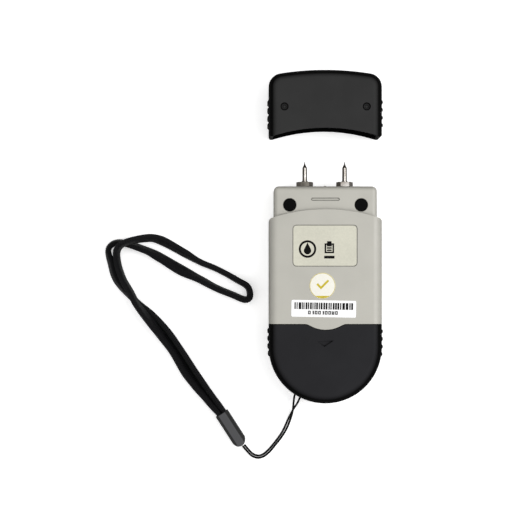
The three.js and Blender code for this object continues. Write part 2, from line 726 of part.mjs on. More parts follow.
function pushButton() {
  const face = BUTTON_RECESS;
  const bevel = 0.6;
  const flange = { r: BUTTON_R + 1, bottom: 3.3, top: 4.1 };
  const profile = [
    [0, face],
    [BUTTON_R - bevel, face],
    [BUTTON_R, face + bevel],
    [BUTTON_R, flange.bottom],
    [flange.r, flange.bottom],
    [flange.r, flange.top],
    [0, flange.top],
  ];
  return turned(profile, 20);
}

function tactSwitch() {
  const { half, z0, stemR, stemZ } = SWITCH;
  return join(box(-half, half, -half, half, z0, BOARD_Z - 0.05), disc(stemR, stemZ, z0 + 0.1, 12));
}

function buzzer() {
  const top = BOARD_TOP + BUZZER.height;
  return cut(disc(BUZZER.r, BOARD_TOP + 0.05, top, 20), disc(1, top - 1.5, top + 1.5, 10));
}

function lead(side) {
  const x = side * PIN_X;
  const route = new Route([
    [x, SOCKET.start - 0.4, SPLIT_Z],
    [x, SOCKET.start - 2.6, SPLIT_Z - 0.1],
    [x * 0.97, SOCKET.start - 4.4, SPLIT_Z - 1],
    [x * 0.95, SOCKET.start - 5.4, BOARD_TOP + 0.75],
  ]);
  return swept(ovalSection(1.2, 1.2, 6), route, 5);
}

// ---------- batteries ----------
function coinCell(index) {
  const z = FIRST_CELL_Z + index * CELL_PITCH;
  const top = z + CELL_HEIGHT;
  const rim = 0.3;
  const lidR = CELL_R - 1.2;
  const profile = [
    [0, z],
    [lidR, z],
    [lidR, z + rim],
    [CELL_R, z + rim],
    [CELL_R, top - rim],
    [CELL_R - rim, top],
    [0, top],
  ];
  return turned(profile, 20);
}

function contactPlate() {
  return box(-4, 4, CELL_Y - 7, CELL_Y + 7, BAY_FLOOR_Z + 0.05, FIRST_CELL_Z - 0.05);
}

// A bent strip beside the cells whose finger lies over the upper one.
function contactClip() {
  const half = 2;
  const x = CELL_R + 0.45;
  const fingerZ = FIRST_CELL_Z + CELLS * CELL_PITCH + 0.05;
  const upright = box(x, x + 0.4, CELL_Y - half, CELL_Y + half, BAY_FLOOR_Z + 0.05, fingerZ + 0.4);
  return upright.add(box(CELL_R / 2, x + 0.4, CELL_Y - half, CELL_Y + half, fingerZ, fingerZ + 0.4));
}

// ---------- assembly ----------
const meter = new THREE.Group();
meter.name = "moisture_meter";

const finish = (color, roughness, metalness = 0) =>
  new THREE.MeshStandardMaterial({ color, roughness, metalness });
const materials = {
  shellGrey: finish(0xbfbcb2, 0.55),
  capBlack: finish(0x343436, 0.45),
  coverBlack: finish(0x232226, 0.5),
  rubberBlack: finish(0x0d0d0e, 0.8),
  label: finish(0xd6d4c3, 0.6),
  sealWhite: finish(0xe9e6dc, 0.4),
  paperWhite: finish(0xf4f4f2, 0.5),
  nickel: finish(0xb9b9b6, 0.25, 1),
  brass: finish(0xb08d4a, 0.35, 1),
  steel: finish(0x8f9194, 0.35, 1),
  clear: finish(0xdfe6e6, 0.05),
  displayGlass: finish(0x9aa58f, 0.15),
  board: finish(0x1f5a38, 0.5),
  chipBlack: finish(0x141416, 0.5),
  insulator: finish(0x262628, 0.6),
  webbing: finish(0x0f0d12, 0.9),
  ferruleGrey: finish(0x555758, 0.5),
  buttonGrey: finish(0x8b8d8f, 0.6),
  silicone: finish(0x4c4c50, 0.7),
  wire: finish(0x8a1f1b, 0.5),
};

function add(name, made, material, parent = meter) {
  const mesh = new THREE.Mesh(geometryOf(made), material);
  mesh.name = name;
  parent.add(mesh);
  return mesh;
}

// Shells and covers.
add("back_shell", backShell(), materials.shellGrey);
add("front_shell", frontShell(), materials.shellGrey);
add("front_grip", frontGrip(), materials.coverBlack);
add("battery_cover", batteryCover(), materials.coverBlack);
add("protective_cap", protectiveCap(), materials.capBlack);

// Electrodes.
add("electrode_block", electrodeBlock(), materials.insulator);
for (const [side, x] of [["left", -PIN_X], ["right", PIN_X]]) {
  add(`electrode_pin_${side}`, alongY(electrodePin(), x, SPLIT_Z), materials.nickel);
  add(`pin_nut_${side}`, alongY(pinNut(), x, SPLIT_Z), materials.nickel);
  add(`pin_socket_${side}`, alongY(pinSocket(), x, SPLIT_Z), materials.brass);
  add(`electrode_lead_${side}`, lead(Math.sign(x)), materials.wire);
}

// Labels on the back.
const SEAL = { x: -1.5, y: -23.3, r: 6.2 };
const SERIAL = { x: -0.9, y: -34.2, halfWidth: 15.35, halfHeight: 4, r: 0.7, tilt: -1 };
const STICKER_Z = [THICKNESS + 0.03, THICKNESS + 0.13];
const rating = raised(labelOutline(-0.1), THICKNESS - 0.3, THICKNESS - 0.05, { steps: 4 });
add("rating_label", rating, materials.label);
const seal = disc(SEAL.r, ...STICKER_Z, 32).translate([SEAL.x, SEAL.y, 0]);
add("inspection_seal", seal, materials.sealWhite);
const { halfWidth, halfHeight } = SERIAL;
const serialOutline = roundedRect(-halfWidth, halfWidth, -halfHeight, halfHeight, SERIAL.r);
const serial = raised(serialOutline, ...STICKER_Z, { steps: 3 }).rotate([0, 0, SERIAL.tilt]);
add("serial_label", serial.translate([SERIAL.x, SERIAL.y, 0]), materials.paperWhite);

// Screws and the plugs that hide the two in the neck.
for (const [side, sign] of [["left", -1], ["right", 1]]) {
  const neckAt = [sign * NECK_SCREW[0], NECK_SCREW[1], 0];
  add(`screw_plug_${side}`, disc(PLUG.r, PLUG.z0, PLUG.z1, 24).translate(neckAt), materials.rubberBlack);
  const neckScrew = screw(6.5, NECK_SEAT_Z + 0.1, CASE_SCREW).translate(neckAt);
  add(`case_screw_neck_${side}`, neckScrew, materials.steel);
  const bayAt = [sign * BAY_SCREW[0], BAY_SCREW[1], 0];
  const bayScrew = screw(5.5, BAY_FLOOR_Z + 0.1, CASE_SCREW).translate(bayAt);
  add(`case_screw_bay_${side}`, bayScrew, materials.steel);
  const boardAt = [sign * BOARD_SCREW[0], BOARD_SCREW[1], 0];
  const boardScrew = screw(4.5, BOARD_TOP + 0.1, SMALL_SCREW).translate(boardAt);
  add(`board_screw_${side}`, boardScrew, materials.steel);
}

// Display.
const windowOutline = roundedRect(-WINDOW.x, WINDOW.x, WINDOW.y0, WINDOW.y1, 2);
add("display_window", raised(windowOutline, 0.4, WINDOW.depth - 0.1, { steps: 4 }), materials.clear);
add("display_glass", displayBlock(0, GLASS.z0, GLASS.z1), materials.displayGlass);
add("display_frame", displayFrame(), materials.insulator);
add("contact_strip_upper", contactStrip(1), materials.silicone);
add("contact_strip_lower", contactStrip(-1), materials.silicone);

// Electronics.
add("circuit_board", circuitBoard(), materials.board);
const chip = PROCESSOR.half;
const processor = box(-chip, chip, -chip, chip, BOARD_TOP + 0.05, BOARD_TOP + PROCESSOR.height);
add("processor", processor.translate([0, PROCESSOR.y, 0]), materials.chipBlack);
add("buzzer", buzzer().translate([BUZZER.x, BUZZER.y, 0]), materials.chipBlack);
for (const [name, x, y] of BUTTONS) {
  add(`${name}_button`, pushButton().translate([x, y, 0]), materials.buttonGrey);
  add(`${name}_switch`, tactSwitch().translate([x, y, 0]), materials.steel);
}

// Batteries and their contacts.
for (let i = 0; i < CELLS; i++) {
  add(`battery_cell_${i + 1}`, coinCell(i).translate([0, CELL_Y, 0]), materials.nickel);
}
add("contact_plate", contactPlate(), materials.brass);
add("contact_clip", contactClip(), materials.brass);

// Strap, ferrule and the thin cord that ties them to the meter.
add("wrist_strap", wristStrap(), materials.webbing);
add("strap_ferrule", strapFerrule(), materials.ferruleGrey);
add("lanyard_cord_left", lanyardCord(CORD_ROUTES.left), materials.webbing);
add("lanyard_cord_right", lanyardCord(CORD_ROUTES.right), materials.webbing);

export default meter;
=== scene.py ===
import json
import math
import random

import bmesh
import bpy
from mathutils import Matrix, Vector


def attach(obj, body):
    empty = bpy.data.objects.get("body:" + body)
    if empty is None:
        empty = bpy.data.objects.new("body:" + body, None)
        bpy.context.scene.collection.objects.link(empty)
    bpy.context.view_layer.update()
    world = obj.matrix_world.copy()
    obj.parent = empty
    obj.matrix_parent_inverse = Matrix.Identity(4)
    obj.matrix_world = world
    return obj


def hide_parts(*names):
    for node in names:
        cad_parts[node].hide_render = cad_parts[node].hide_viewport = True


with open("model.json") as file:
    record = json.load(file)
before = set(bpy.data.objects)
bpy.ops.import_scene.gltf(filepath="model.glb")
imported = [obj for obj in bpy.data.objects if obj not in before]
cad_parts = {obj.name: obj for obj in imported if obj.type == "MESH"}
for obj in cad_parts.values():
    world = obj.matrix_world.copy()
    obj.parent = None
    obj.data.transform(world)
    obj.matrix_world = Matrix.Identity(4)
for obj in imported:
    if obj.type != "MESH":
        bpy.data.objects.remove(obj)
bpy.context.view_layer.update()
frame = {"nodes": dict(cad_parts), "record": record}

MM = 0.001
PI = math.pi

# ---- driving dimensions, the same as the frame's ----
HALF_WIDTH = 27.0
THICKNESS = 25.0
END_Y = -52.5  # centre of the half-round battery end
SHOULDER_Y = 13.0
SHOULDER_R = 82.0
SHOULDER_CORNER_R = 2.0
EDGE_R = 4.5
WALL = 2.0
SPLIT_Z = 12.5
GAP = 0.15

NECK_HALF = 24.6
NECK_ROOT = -6.0  # inside the body
NECK_END = 24.0
NECK_DROP = 2.0
NECK_CORNER = 2.4
NECK_EDGE_R = 2.3
NECK_TOP = THICKNESS - NECK_DROP

CAP_TRAVEL = 38.4
CAP_WALL = 2.1
CAP_CROWN_Y = 41.15
CAP_CROWN_R = 137.0
CAP_CORNER_R = 6.5
CAP_GAP = 0.3
CAP_TIP_R = 1.2

PIN_X = 9.6
PIN_R = 1.14
SHANK_R = 1.5
PIN_CLEARANCE = 0.4
PIN_FOOT = 13.6
PIN_TIP = 36.4
NUT_FLATS = 7.0
NUT_START = 24.15
NUT_END = 26.5
NUT_CHAMFER = 0.22

COVER_Y = -41.6
TONGUE_DROP = 2.7
TONGUE_HALF = 9.8
GRIP_SKIN = 1.3
RIDGE_YS = (-45.2, -48.8, -52.5, -56.0)
CAP_RIDGE_YS = (25.9, 22.3, 18.5, 14.9)
RIDGE_R = 1.35
RIDGE_PROUD = 0.65
RIDGE_END_R = 0.9
RIDGE_Z0 = 5.5

CELL_Y = -59.5
BAY_FLOOR_Z = 12.7
BAY_FLOOR_THICKNESS = 1.5
BAY_INSET = 4.5
BAY_WALL = (COVER_Y + 0.3, COVER_Y + 1.8)
BAY_WALL_HALF = 22.5
BAY_WALL_TOP = 23.5
CELL_RING = {"inner": 10.4, "outer": 12.0, "top": 19.0}
CELL_CONTACT = {"x0": 8.0, "x1": 13.0, "half": 2.6, "top": 20.0}  # the notch in the cell's ring
NECK_SCREW = (17.0, 15.1)
BAY_SCREW = (18.2, -46.5)
BUTTON_R = 4.0
BUTTONS = {"power": (0.0, -60.0), "hold": (-9.8, -48.0), "mode": (9.8, -48.0)}

STRAP_WIDTH = 6.0
STRAP_THICKNESS = 2.45
STRAP_CLEARANCE = 0.15
CORD_R = 0.45
FAR = 60.0  # beyond the object on either side and past its pins
END = -110.0  # beyond its battery end
UNDER = -1.0
OVER = THICKNESS + 1.0

# ---- camera ----
LOOK_AT = (-30.17, -12.05)
CAMERA_HEIGHT = 762.5
SENSOR = 36.0
LENS = 106.9


def make_camera():
    data = bpy.data.cameras.new("camera")
    data.sensor_width = SENSOR
    data.lens = LENS
    camera = bpy.data.objects.new("camera", data)
    camera.location = (LOOK_AT[0] * MM, LOOK_AT[1] * MM, CAMERA_HEIGHT * MM)
    bpy.context.scene.collection.objects.link(camera)
    bpy.context.scene.camera = camera


make_camera()


# ---- mesh kit ----
def mesh_object(name, vertices, faces):
    mesh = bpy.data.meshes.new(name)
    mesh.from_pydata([Vector(v) for v in vertices], [], faces)
    mesh.update()
    obj = bpy.data.objects.new(name, mesh)
    bpy.context.scene.collection.objects.link(obj)
    return obj


def ring_stack(name, rings):
    """A closed skin over rings that have the same number of points, from the first to the last."""
    count = len(rings[0])
    vertices = [p for ring in rings for p in ring]
    faces = []
    for k in range(len(rings) - 1):
        for i in range(count):
            j = (i + 1) % count
            faces.append((k * count + i, k * count + j, (k + 1) * count + j, (k + 1) * count + i))
    faces.append(tuple(reversed(range(count))))
    faces.append(tuple(range((len(rings) - 1) * count, len(rings) * count)))
    return mesh_object(name, vertices, faces)


def arc(x, y, r, start, end, steps):
    angles = [start + (end - start) * i / steps for i in range(steps + 1)]
    return [(x + r * math.cos(a), y + r * math.sin(a)) for a in angles]


def circle(r, steps):
    return arc(0, 0, r, 0, 2 * PI, steps)[:-1]


def prism(outline, z0, z1, rounding=0.0, steps=8):
    """The outline raised from z0 to z1. outline(inset) gives its points; the edges are rounded."""
    levels = [(0.0, 0.0)]
    if rounding > 0:
        angles = [0.5 * PI * k / steps for k in range(steps + 1)]
        levels = [(rounding * (1 - math.cos(a)), rounding * (1 - math.sin(a))) for a in angles]
    rows = [(z0 + rise, inset) for rise, inset in levels]
    rows += [(z1 - rise, inset) for rise, inset in reversed(levels)]
    return ring_stack("prism", [[(x, y, z) for x, y in outline(inset)] for z, inset in rows])


def lathe(profile, segments=48):
    """A solid of revolution about Z. profile is a list of (radius, z) from the axis to the axis."""
    rings = [[(*p, z) for p in circle(max(r, 1e-4), segments)] for r, z in profile]
    return ring_stack("lathe", rings)


def fixed(points):
    """An outline for prism() that is the same at every inset."""
    return lambda inset: points


def bar(x0, x1, y0, y1):
    return [(x0, y0), (x1, y0), (x1, y1), (x0, y1)]


def box(x0, x1, y0, y1, z0, z1):
    return prism(fixed(bar(x0, x1, y0, y1)), z0, z1)


def slab(y0, y1, z0, z1):
    """A box wider than the object."""
    return box(-FAR, FAR, y0, y1, z0, z1)


def disc(r, z0, z1, x=0.0, y=0.0, segments=48):
    return moved(lathe([(0, z0), (r, z0), (r, z1), (0, z1)], segments), (x, y, 0))


def moved(obj, offset):
    obj.data.transform(Matrix.Translation(offset))
    return obj


def turned(obj, angle, axis):
    obj.data.transform(Matrix.Rotation(angle, 4, axis))
    return obj


def copied(obj):
    twin = bpy.data.objects.new(obj.name, obj.data.copy())
    bpy.context.scene.collection.objects.link(twin)
    return twin


def discard(obj):
    mesh = obj.data
    bpy.data.objects.remove(obj)
    bpy.data.meshes.remove(mesh)


def combine(base, operation, *others):
    for other in others:
        modifier = base.modifiers.new("combine", "BOOLEAN")
        modifier.operation = operation
        modifier.solver = "MANIFOLD"
        modifier.object = other
    bpy.context.view_layer.update()
    evaluated = base.evaluated_get(bpy.context.evaluated_depsgraph_get())
    mesh = bpy.data.meshes.new_from_object(evaluated)
    base.modifiers.clear()
    old = base.data
    base.data = mesh
    bpy.data.meshes.remove(old)
    for other in others:
        discard(other)
    return base


def cut(base, *tools):
    return combine(base, "DIFFERENCE", *tools)


def join(base, *others):
    return combine(base, "UNION", *others)


def keep(base, *others):
    return combine(base, "INTERSECT", *others)


def settle(obj, name, look, *replaces, body="housing", slot=None, crease=32.0):
    """Turns a piece to metres, smooths it, gives it its look and ties it to its body.

    A piece that stands for CAD nodes hides them. The slot argument is not used.
    """
    obj.name = name
    obj.data.name = name
    soft = bmesh.new()
    soft.from_mesh(obj.data)
    bmesh.ops.remove_doubles(soft, verts=soft.verts, dist=0.002)
    bmesh.ops.dissolve_degenerate(soft, edges=soft.edges, dist=0.001)
    soft.to_mesh(obj.data)
    soft.free()
    obj.data.transform(Matrix.Scale(MM, 4))
    obj.data.polygons.foreach_set("use_smooth", [True] * len(obj.data.polygons))
    obj.data.set_sharp_from_angle(angle=math.radians(crease))
    weighted = obj.modifiers.new("normals", "WEIGHTED_NORMAL")
    weighted.keep_sharp = True
    obj.data.materials.clear()
    obj.data.materials.append(LOOKS[look])
    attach(obj, body)
    if replaces:
        slot = slot or look
        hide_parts(*replaces)
    return obj


# ---- materials ----
class Shader:
    """A node material under construction."""

    def __init__(self, name):
        self.material = bpy.data.materials.new(name)
        self.material.use_nodes = True
        self.nodes = self.material.node_tree.nodes
        self.links = self.material.node_tree.links
        self.surface = self.nodes["Principled BSDF"]
        self.coordinates = self.add("ShaderNodeTexCoord").outputs

    def add(self, kind, **settings):
        node = self.nodes.new(kind)
        for key, value in settings.items():
            setattr(node, key, value)
        return node

    def feed(self, socket, value):
        if isinstance(value, bpy.types.NodeSocket):
            self.links.new(value, socket)
        else:
            socket.default_value = value

    def mapped(self, scale, turn=(0, 0, 0)):
        node = self.add("ShaderNodeMapping")
        self.feed(node.inputs["Vector"], self.coordinates["Object"])
        node.inputs["Scale"].default_value = scale
        node.inputs["Rotation"].default_value = turn
        return node.outputs["Vector"]

    def texture(self, node, vector=None, **inputs):
        self.feed(node.inputs["Vector"], vector or self.coordinates["Object"])
        for key, value in inputs.items():
            node.inputs[key].default_value = value
        return node.outputs

    def noise(self, scale, detail=3.0, roughness=0.55, vector=None):
        node = self.add("ShaderNodeTexNoise")
        return self.texture(node, vector, Scale=scale, Detail=detail, Roughness=roughness)["Fac"]

    def spots(self, scale):
        return self.texture(self.add("ShaderNodeTexVoronoi"), Scale=scale)["Distance"]

    def wave(self, scale, distortion, direction):
        node = self.add("ShaderNodeTexWave", bands_direction=direction)
        return self.texture(node, Scale=scale, Distortion=distortion)["Fac"]

    def split(self, vector):
        node = self.add("ShaderNodeSeparateXYZ")
        self.feed(node.inputs[0], vector)
        return node.outputs

    def math(self, operation, a, b=0.0):
        node = self.add("ShaderNodeMath", operation=operation)
        self.feed(node.inputs[0], a)
        self.feed(node.inputs[1], b)
        return node.outputs[0]

    def plus(self, a, b):
        return self.math("ADD", a, b)

    def times(self, a, b):
        return self.math("MULTIPLY", a, b)

    def span(self, value, from_low, from_high, to_low=0.0, to_high=1.0):
        node = self.add("ShaderNodeMapRange")
        self.feed(node.inputs["Value"], value)
        numbers = (from_low, from_high, to_low, to_high)
        for key, number in zip(("From Min", "From Max", "To Min", "To Max"), numbers):
            node.inputs[key].default_value = number
        return node.outputs["Result"]

    def uneven(self, low, high, scale, detail=3.0, roughness=0.55):
        """A value that wanders between low and high."""
        return self.span(self.noise(scale, detail, roughness), 0.3, 0.7, low, high)

    def mix(self, factor, a, b):
        node = self.add("ShaderNodeMix", data_type="RGBA")
        self.feed(node.inputs[0], factor)
        self.feed(node.inputs[6], a)
        self.feed(node.inputs[7], b)
        return node.outputs[2]

    def edges(self, radius):
        """How far from flat the surface is within `radius` metres, and its softened normal."""
        soft = self.add("ShaderNodeBevel", samples=4)
        soft.inputs["Radius"].default_value = radius
        flat = self.add("ShaderNodeNewGeometry").outputs["Normal"]
        dot = self.add("ShaderNodeVectorMath", operation="DOT_PRODUCT")
        self.links.new(soft.outputs["Normal"], dot.inputs[0])
        self.links.new(flat, dot.inputs[1])
        return self.span(dot.outputs["Value"], 0.97, 0.8), soft.outputs["Normal"]

    def upright(self, side, face=0.99):
        """1 where the surface's normal is upright within `face`, falling to 0 at `side`."""
        normal = self.split(self.coordinates["Normal"])
        return self.span(self.math("ABSOLUTE", normal["Z"]), side, face)

    def floor_inside(self, low, high):
        """Mask of painted shade: 1 on faces that look up from below `low` metres, as a hollow's
        floor; 0 above `high`.
        """
        facing = self.math("GREATER_THAN", self.split(self.coordinates["Normal"])["Z"], 0.5)
        height = self.split(self.coordinates["Object"])["Z"]
        return self.times(facing, self.span(height, low, high, 1.0, 0.0))

    def openness(self, reach):
        """Mask of painted shade: 1 on open surfaces, falling to 0 in grooves and hollows narrower
        than `reach` metres.
        """
        node = self.add("ShaderNodeAmbientOcclusion", samples=6)
        node.inputs["Distance"].default_value = reach
        return self.span(node.outputs["AO"], 0.3, 0.65)

    def bump(self, height, distance, strength=1.0, normal=None):
        node = self.add("ShaderNodeBump")
        node.inputs["Strength"].default_value = strength
        node.inputs["Distance"].default_value = distance
        self.links.new(height, node.inputs["Height"])
        if normal:
            self.links.new(normal, node.inputs["Normal"])
        return node.outputs["Normal"]

    def finish(self, color, roughness, normal=None, **constants):
        self.feed(self.surface.inputs["Base Color"], color)
        self.feed(self.surface.inputs["Roughness"], roughness)
        if normal:
            self.links.new(normal, self.surface.inputs["Normal"])
        for key, value in constants.items():
            self.surface.inputs[key.replace("_", " ")].default_value = value
        return self.material


def grey(level, tint=(1.0, 1.0, 1.0)):
    return (level * tint[0], level * tint[1], level * tint[2], 1.0)


FINE = (2600.0, 0.00002)  # a grain's scale, and its depth in metres
FLANK_DULLING = 0.5  # how much rougher the sides and hollows of a moulding are
WEAR_R = 0.00028  # radius of the soft edge that wear shows on
SHADE_REACH = 0.022  # a hollow narrower than this gets painted shade, in metres
SHADED_FLOOR_Z = (0.008, 0.012)  # a hollow's floor that gets painted shade lies below the first, in metres


def moulded(name, colors, roughness, grain=FINE, specular=0.5, painted_shade=None, side=0.8, hollow=False):
    """Moulded plastic: cloudy colour, fine grain, scuffed lighter edges and a few specks of dust.

    colors are its dark, light and worn tones. Its sides and hollows are painted with shade in a
    given shade colour, where the skin is also duller, and side is how upright the normal is where
    that painted shade is full. A piece whose inside shows can have its floor inside painted with
    shade too.
    """
    dark, light, worn = colors
    shader = Shader(name)
    color = shader.mix(shader.uneven(0.0, 1.0, 38.0, 4.0), dark, light)
    edge, rounded = shader.edges(WEAR_R)
    scuff = shader.span(shader.noise(420.0, 3.0, 0.7), 0.42, 0.62, 0.25, 1.0)
    color = shader.mix(shader.times(edge, scuff), color, worn)
    specks = shader.math("LESS_THAN", shader.spots(330.0), 0.055)
    rare = shader.math("GREATER_THAN", shader.noise(90.0, 1.0), 0.6)
    color = shader.mix(shader.times(shader.times(specks, rare), 0.5), color, worn)
    fine = shader.noise(grain[0], 2.0, 0.6)
    gloss = shader.uneven(roughness - 0.06, roughness + 0.07, 70.0, 5.0, 0.65)
    gloss = shader.plus(gloss, shader.span(fine, 0.3, 0.7, -0.03, 0.03))
    # painted shade: the colour turns to the shade colour on tilted sides, in hollows that ambient
    # occlusion finds, and on a hollow piece's floor inside
    if painted_shade:
        face = shader.times(shader.upright(side), shader.openness(SHADE_REACH))
        if hollow:
            inside = shader.floor_inside(*SHADED_FLOOR_Z)
            face = shader.times(face, shader.span(inside, 0.0, 1.0, 1.0, 0.0))
        color = shader.mix(face, painted_shade, color)
        gloss = shader.plus(gloss, shader.span(face, 0.0, 1.0, FLANK_DULLING, 0.0))
    normal = shader.bump(fine, grain[1], 0.6, rounded)
    return shader.finish(color, gloss, normal, Specular_IOR_Level=specular)


def metal(name, dark, light, roughness, stretch, painted_side_shade=None):
    """Plated or turned metal: fine lines across the stretched direction and stains in the colour.

    The sides can be painted with shade in a given colour, darker than the upright faces.
    """
    shader = Shader(name)
    lines = shader.noise(700.0, 3.0, 0.6, shader.mapped(stretch))
    stain = shader.noise(160.0, 4.0, 0.6)
    color = shader.mix(shader.span(stain, 0.35, 0.7), light, dark)
    gloss = shader.span(shader.plus(lines, stain), 0.7, 1.3, roughness - 0.07, roughness + 0.1)
    edge, rounded = shader.edges(0.00012)
    color = shader.mix(shader.times(edge, 0.4), color, light)
    # painted shade: faces that tilt away from upright take the darker side colour
    if painted_side_shade:
        color = shader.mix(shader.upright(0.93), painted_side_shade, color)
    return shader.finish(color, gloss, shader.bump(lines, 0.000012, 0.5, rounded), Metallic=1.0)


def printed_film(name, dark, light, roughness, coat=0.0):
    """A paper or film sticker: faint mottling, fine fibres and slightly uneven gloss."""
    shader = Shader(name)
    mottle = shader.plus(shader.noise(110.0, 5.0, 0.6), shader.noise(1500.0, 2.0, 0.6))
    color = shader.mix(shader.span(mottle, 0.75, 1.25), dark, light)
    gloss = shader.uneven(roughness - 0.06, roughness + 0.06, 240.0, 4.0)
    fibres = shader.plus(shader.noise(60.0, 2.0), shader.noise(1700.0, 2.0))
    normal = shader.bump(fibres, 0.000015, 0.5)
    return shader.finish(color, gloss, normal, Coat_Weight=coat, Coat_Roughness=0.15)


def ink(name, level, tint=(1.0, 1.0, 1.0)):
    """Printing ink with small pinholes and a slightly uneven tone."""
    shader = Shader(name)
    grain = shader.noise(2600.0, 2.0, 0.7)
    color = shader.mix(shader.span(grain, 0.35, 0.75), grey(level, tint), grey(level * 1.9, tint))
    gloss = shader.uneven(0.4, 0.55, 300.0)
    return shader.finish(color, gloss, shader.bump(grain, 0.000008, 0.5), Specular_IOR_Level=0.05)


def woven(name, dark, light, rib, yarn):
    """Webbing: ribs across the tape and slanting yarns, laid along the piece by its own UV map."""
    shader = Shader(name)
    uv = shader.split(shader.add("ShaderNodeUVMap", uv_map="weave").outputs["UV"])
    phase = shader.times(uv[0], 2 * PI / rib)
    waves = []
    for slant in (1.0, -1.0):
        lean = shader.times(uv[1], slant * 2 * PI / yarn)
        waves.append(shader.math("SINE", shader.plus(phase, lean)))
    weave = shader.math("MAXIMUM", *waves)
    height = shader.plus(weave, shader.times(shader.noise(5200.0, 2.0, 0.7), 0.8))
    fluff = shader.noise(900.0, 4.0, 0.7)
    color = shader.mix(shader.span(height, -0.2, 1.6), dark, light)
    color = shader.mix(shader.span(fluff, 0.5, 0.85, 0.0, 0.45), color, light)
    gloss, normal = shader.uneven(0.6, 0.85, 1300.0), shader.bump(height, 0.00012, 0.9)
    sheen = {"Sheen_Weight": 0.02, "Sheen_Roughness": 0.4}
    return shader.finish(color, gloss, normal, Specular_IOR_Level=0.08, **sheen)


def clear_window(name):
    """Clear acrylic with fine slanting scratches."""
    shader = Shader(name)
    scratch = shader.noise(800.0, 4.0, 0.7, shader.mapped((1, 9, 1), (0, 0, 0.6)))
    gloss = shader.span(scratch, 0.45, 0.8, 0.03, 0.16)
    tint = shader.mix(shader.noise(30.0), (0.86, 0.9, 0.9, 1), (0.92, 0.95, 0.95, 1))
    normal = shader.bump(scratch, 0.000004, 0.4)
    return shader.finish(tint, gloss, normal, Transmission_Weight=0.95, IOR=1.49)


def board_finish(name):
    """Green circuit board with winding traces under its lacquer."""
    shader = Shader(name)
    traces = shader.math("GREATER_THAN", shader.wave(55.0, 7.0, "Y"), 0.6)
    color = shader.mix(traces, (0.012, 0.085, 0.032, 1), (0.02, 0.15, 0.06, 1))
    shade = shader.span(shader.noise(60.0), 0.4, 0.7, 0.0, 0.3)
    color = shader.mix(shade, color, (0.01, 0.06, 0.03, 1))
    return shader.finish(color, shader.uneven(0.28, 0.42, 300.0), shader.bump(traces, 0.00003, 0.5))


WARM = (1.0, 0.975, 0.87)
CREAM = (1.0, 0.98, 0.81)
COOL = (0.97, 0.97, 1.08)
GOLD = (1.0, 0.8, 0.07)
# colours of painted shade on the sides of the nickel looks
SHADED_NICKEL_SIDES = (0.05, 0.042, 0.034, 1)
NICKEL_SIDE_SHADE = (0.04, 0.033, 0.026, 1)
# dark tone of the left nut's copy of nickel, which is painted shade
SHADED_NICKEL_DARK = (0.085, 0.078, 0.066, 1)
LENGTHWISE = (1, 22, 1)


def greys(*levels, tint=(1.0, 1.0, 1.0)):
    return [grey(level, tint) for level in levels]


SHELL_TONES = greys(0.39, 0.43, 0.6, tint=WARM)
COVER_TONES = [*greys(0.014, 0.018, tint=COOL), grey(0.03)]
CAP_TONES = greys(0.024, 0.03, 0.045)
MADE_LOOKS = (
    # The darker side colours below are painted shade on the sides and hollows of the shell, cover,
    # cap and ferrule; the cap's floor inside is painted with shade too.
    moulded("shell_grey", SHELL_TONES, 0.38, painted_shade=grey(0.25, WARM), side=0.35),
    moulded("cover_black", COVER_TONES, 0.42, specular=0.06, painted_shade=grey(0.0006)),
    moulded("cap_black", CAP_TONES, 0.42, specular=0.04, painted_shade=grey(0.0012), hollow=True),
    moulded("insulator_black", greys(0.012, 0.02, 0.08), 0.5),
    moulded("plug_rubber", greys(0.0015, 0.003, 0.008), 0.75, (1800.0, 0.00004), 0.06),
    moulded("ferrule_grey", greys(0.031, 0.041, 0.11, tint=COOL), 0.4, painted_shade=grey(0.008)),
    moulded("button_grey", greys(0.2, 0.25, 0.4), 0.6, (1500.0, 0.00003), 0.35),
    moulded("silicone_grey", greys(0.07, 0.1, 0.15), 0.6),
    moulded("chip_black", greys(0.01, 0.014, 0.05), 0.45),
    moulded("lead_insulation", [(0.22, 0.01, 0.01, 1), (0.3, 0.02, 0.02, 1), grey(0.4)], 0.4),
    moulded("cord_black", greys(0.001, 0.004, 0.008), 0.75, (4200.0, 0.00006), 0.1),
    # Both nickel looks paint shade on the sides of the pins and nuts.
    metal("nickel", (0.26, 0.23, 0.2, 1), (0.66, 0.64, 0.61, 1), 0.2, LENGTHWISE, NICKEL_SIDE_SHADE),
    # A darker, rougher copy of nickel for the left nut; its darker colour is painted shade.
    metal("nickel_shaded", SHADED_NICKEL_DARK, (0.21, 0.195, 0.17, 1), 0.3, LENGTHWISE, SHADED_NICKEL_SIDES),
    metal("brass", (0.4, 0.25, 0.08, 1), (0.72, 0.5, 0.2, 1), 0.32, (1, 12, 1)),
    metal("screw_steel", (0.3, 0.3, 0.31, 1), (0.52, 0.52, 0.53, 1), 0.34, (1, 1, 14)),
    metal("cell_steel", (0.42, 0.42, 0.41, 1), (0.66, 0.66, 0.64, 1), 0.28, (14, 1, 1)),
    printed_film("label_film", *greys(0.5, 0.57, tint=CREAM), 0.42),
    printed_film("seal_paper", *greys(0.73, 0.79, tint=WARM), 0.3, 0.3),
    printed_film("label_paper", *greys(0.84, 0.9), 0.38, 0.2),
    printed_film("display_glass", (0.2, 0.24, 0.16, 1), (0.26, 0.3, 0.21, 1), 0.12, 0.5),
    clear_window("window_clear"),
    board_finish("board_green"),
    woven("webbing_black", *greys(0.001, 0.01, tint=COOL), 0.95, 2.4),
    ink("black_ink", 0.002),
    ink("gold_ink", 0.38, GOLD),
    ink("lcd_ink", 0.1, (0.9, 1.0, 0.8)),
    ink("legend_ink", 0.7),
)
# Blender adds .001 and so on to a name that the frame's own materials have.
LOOKS = {look.name.split(".")[0]: look for look in MADE_LOOKS}


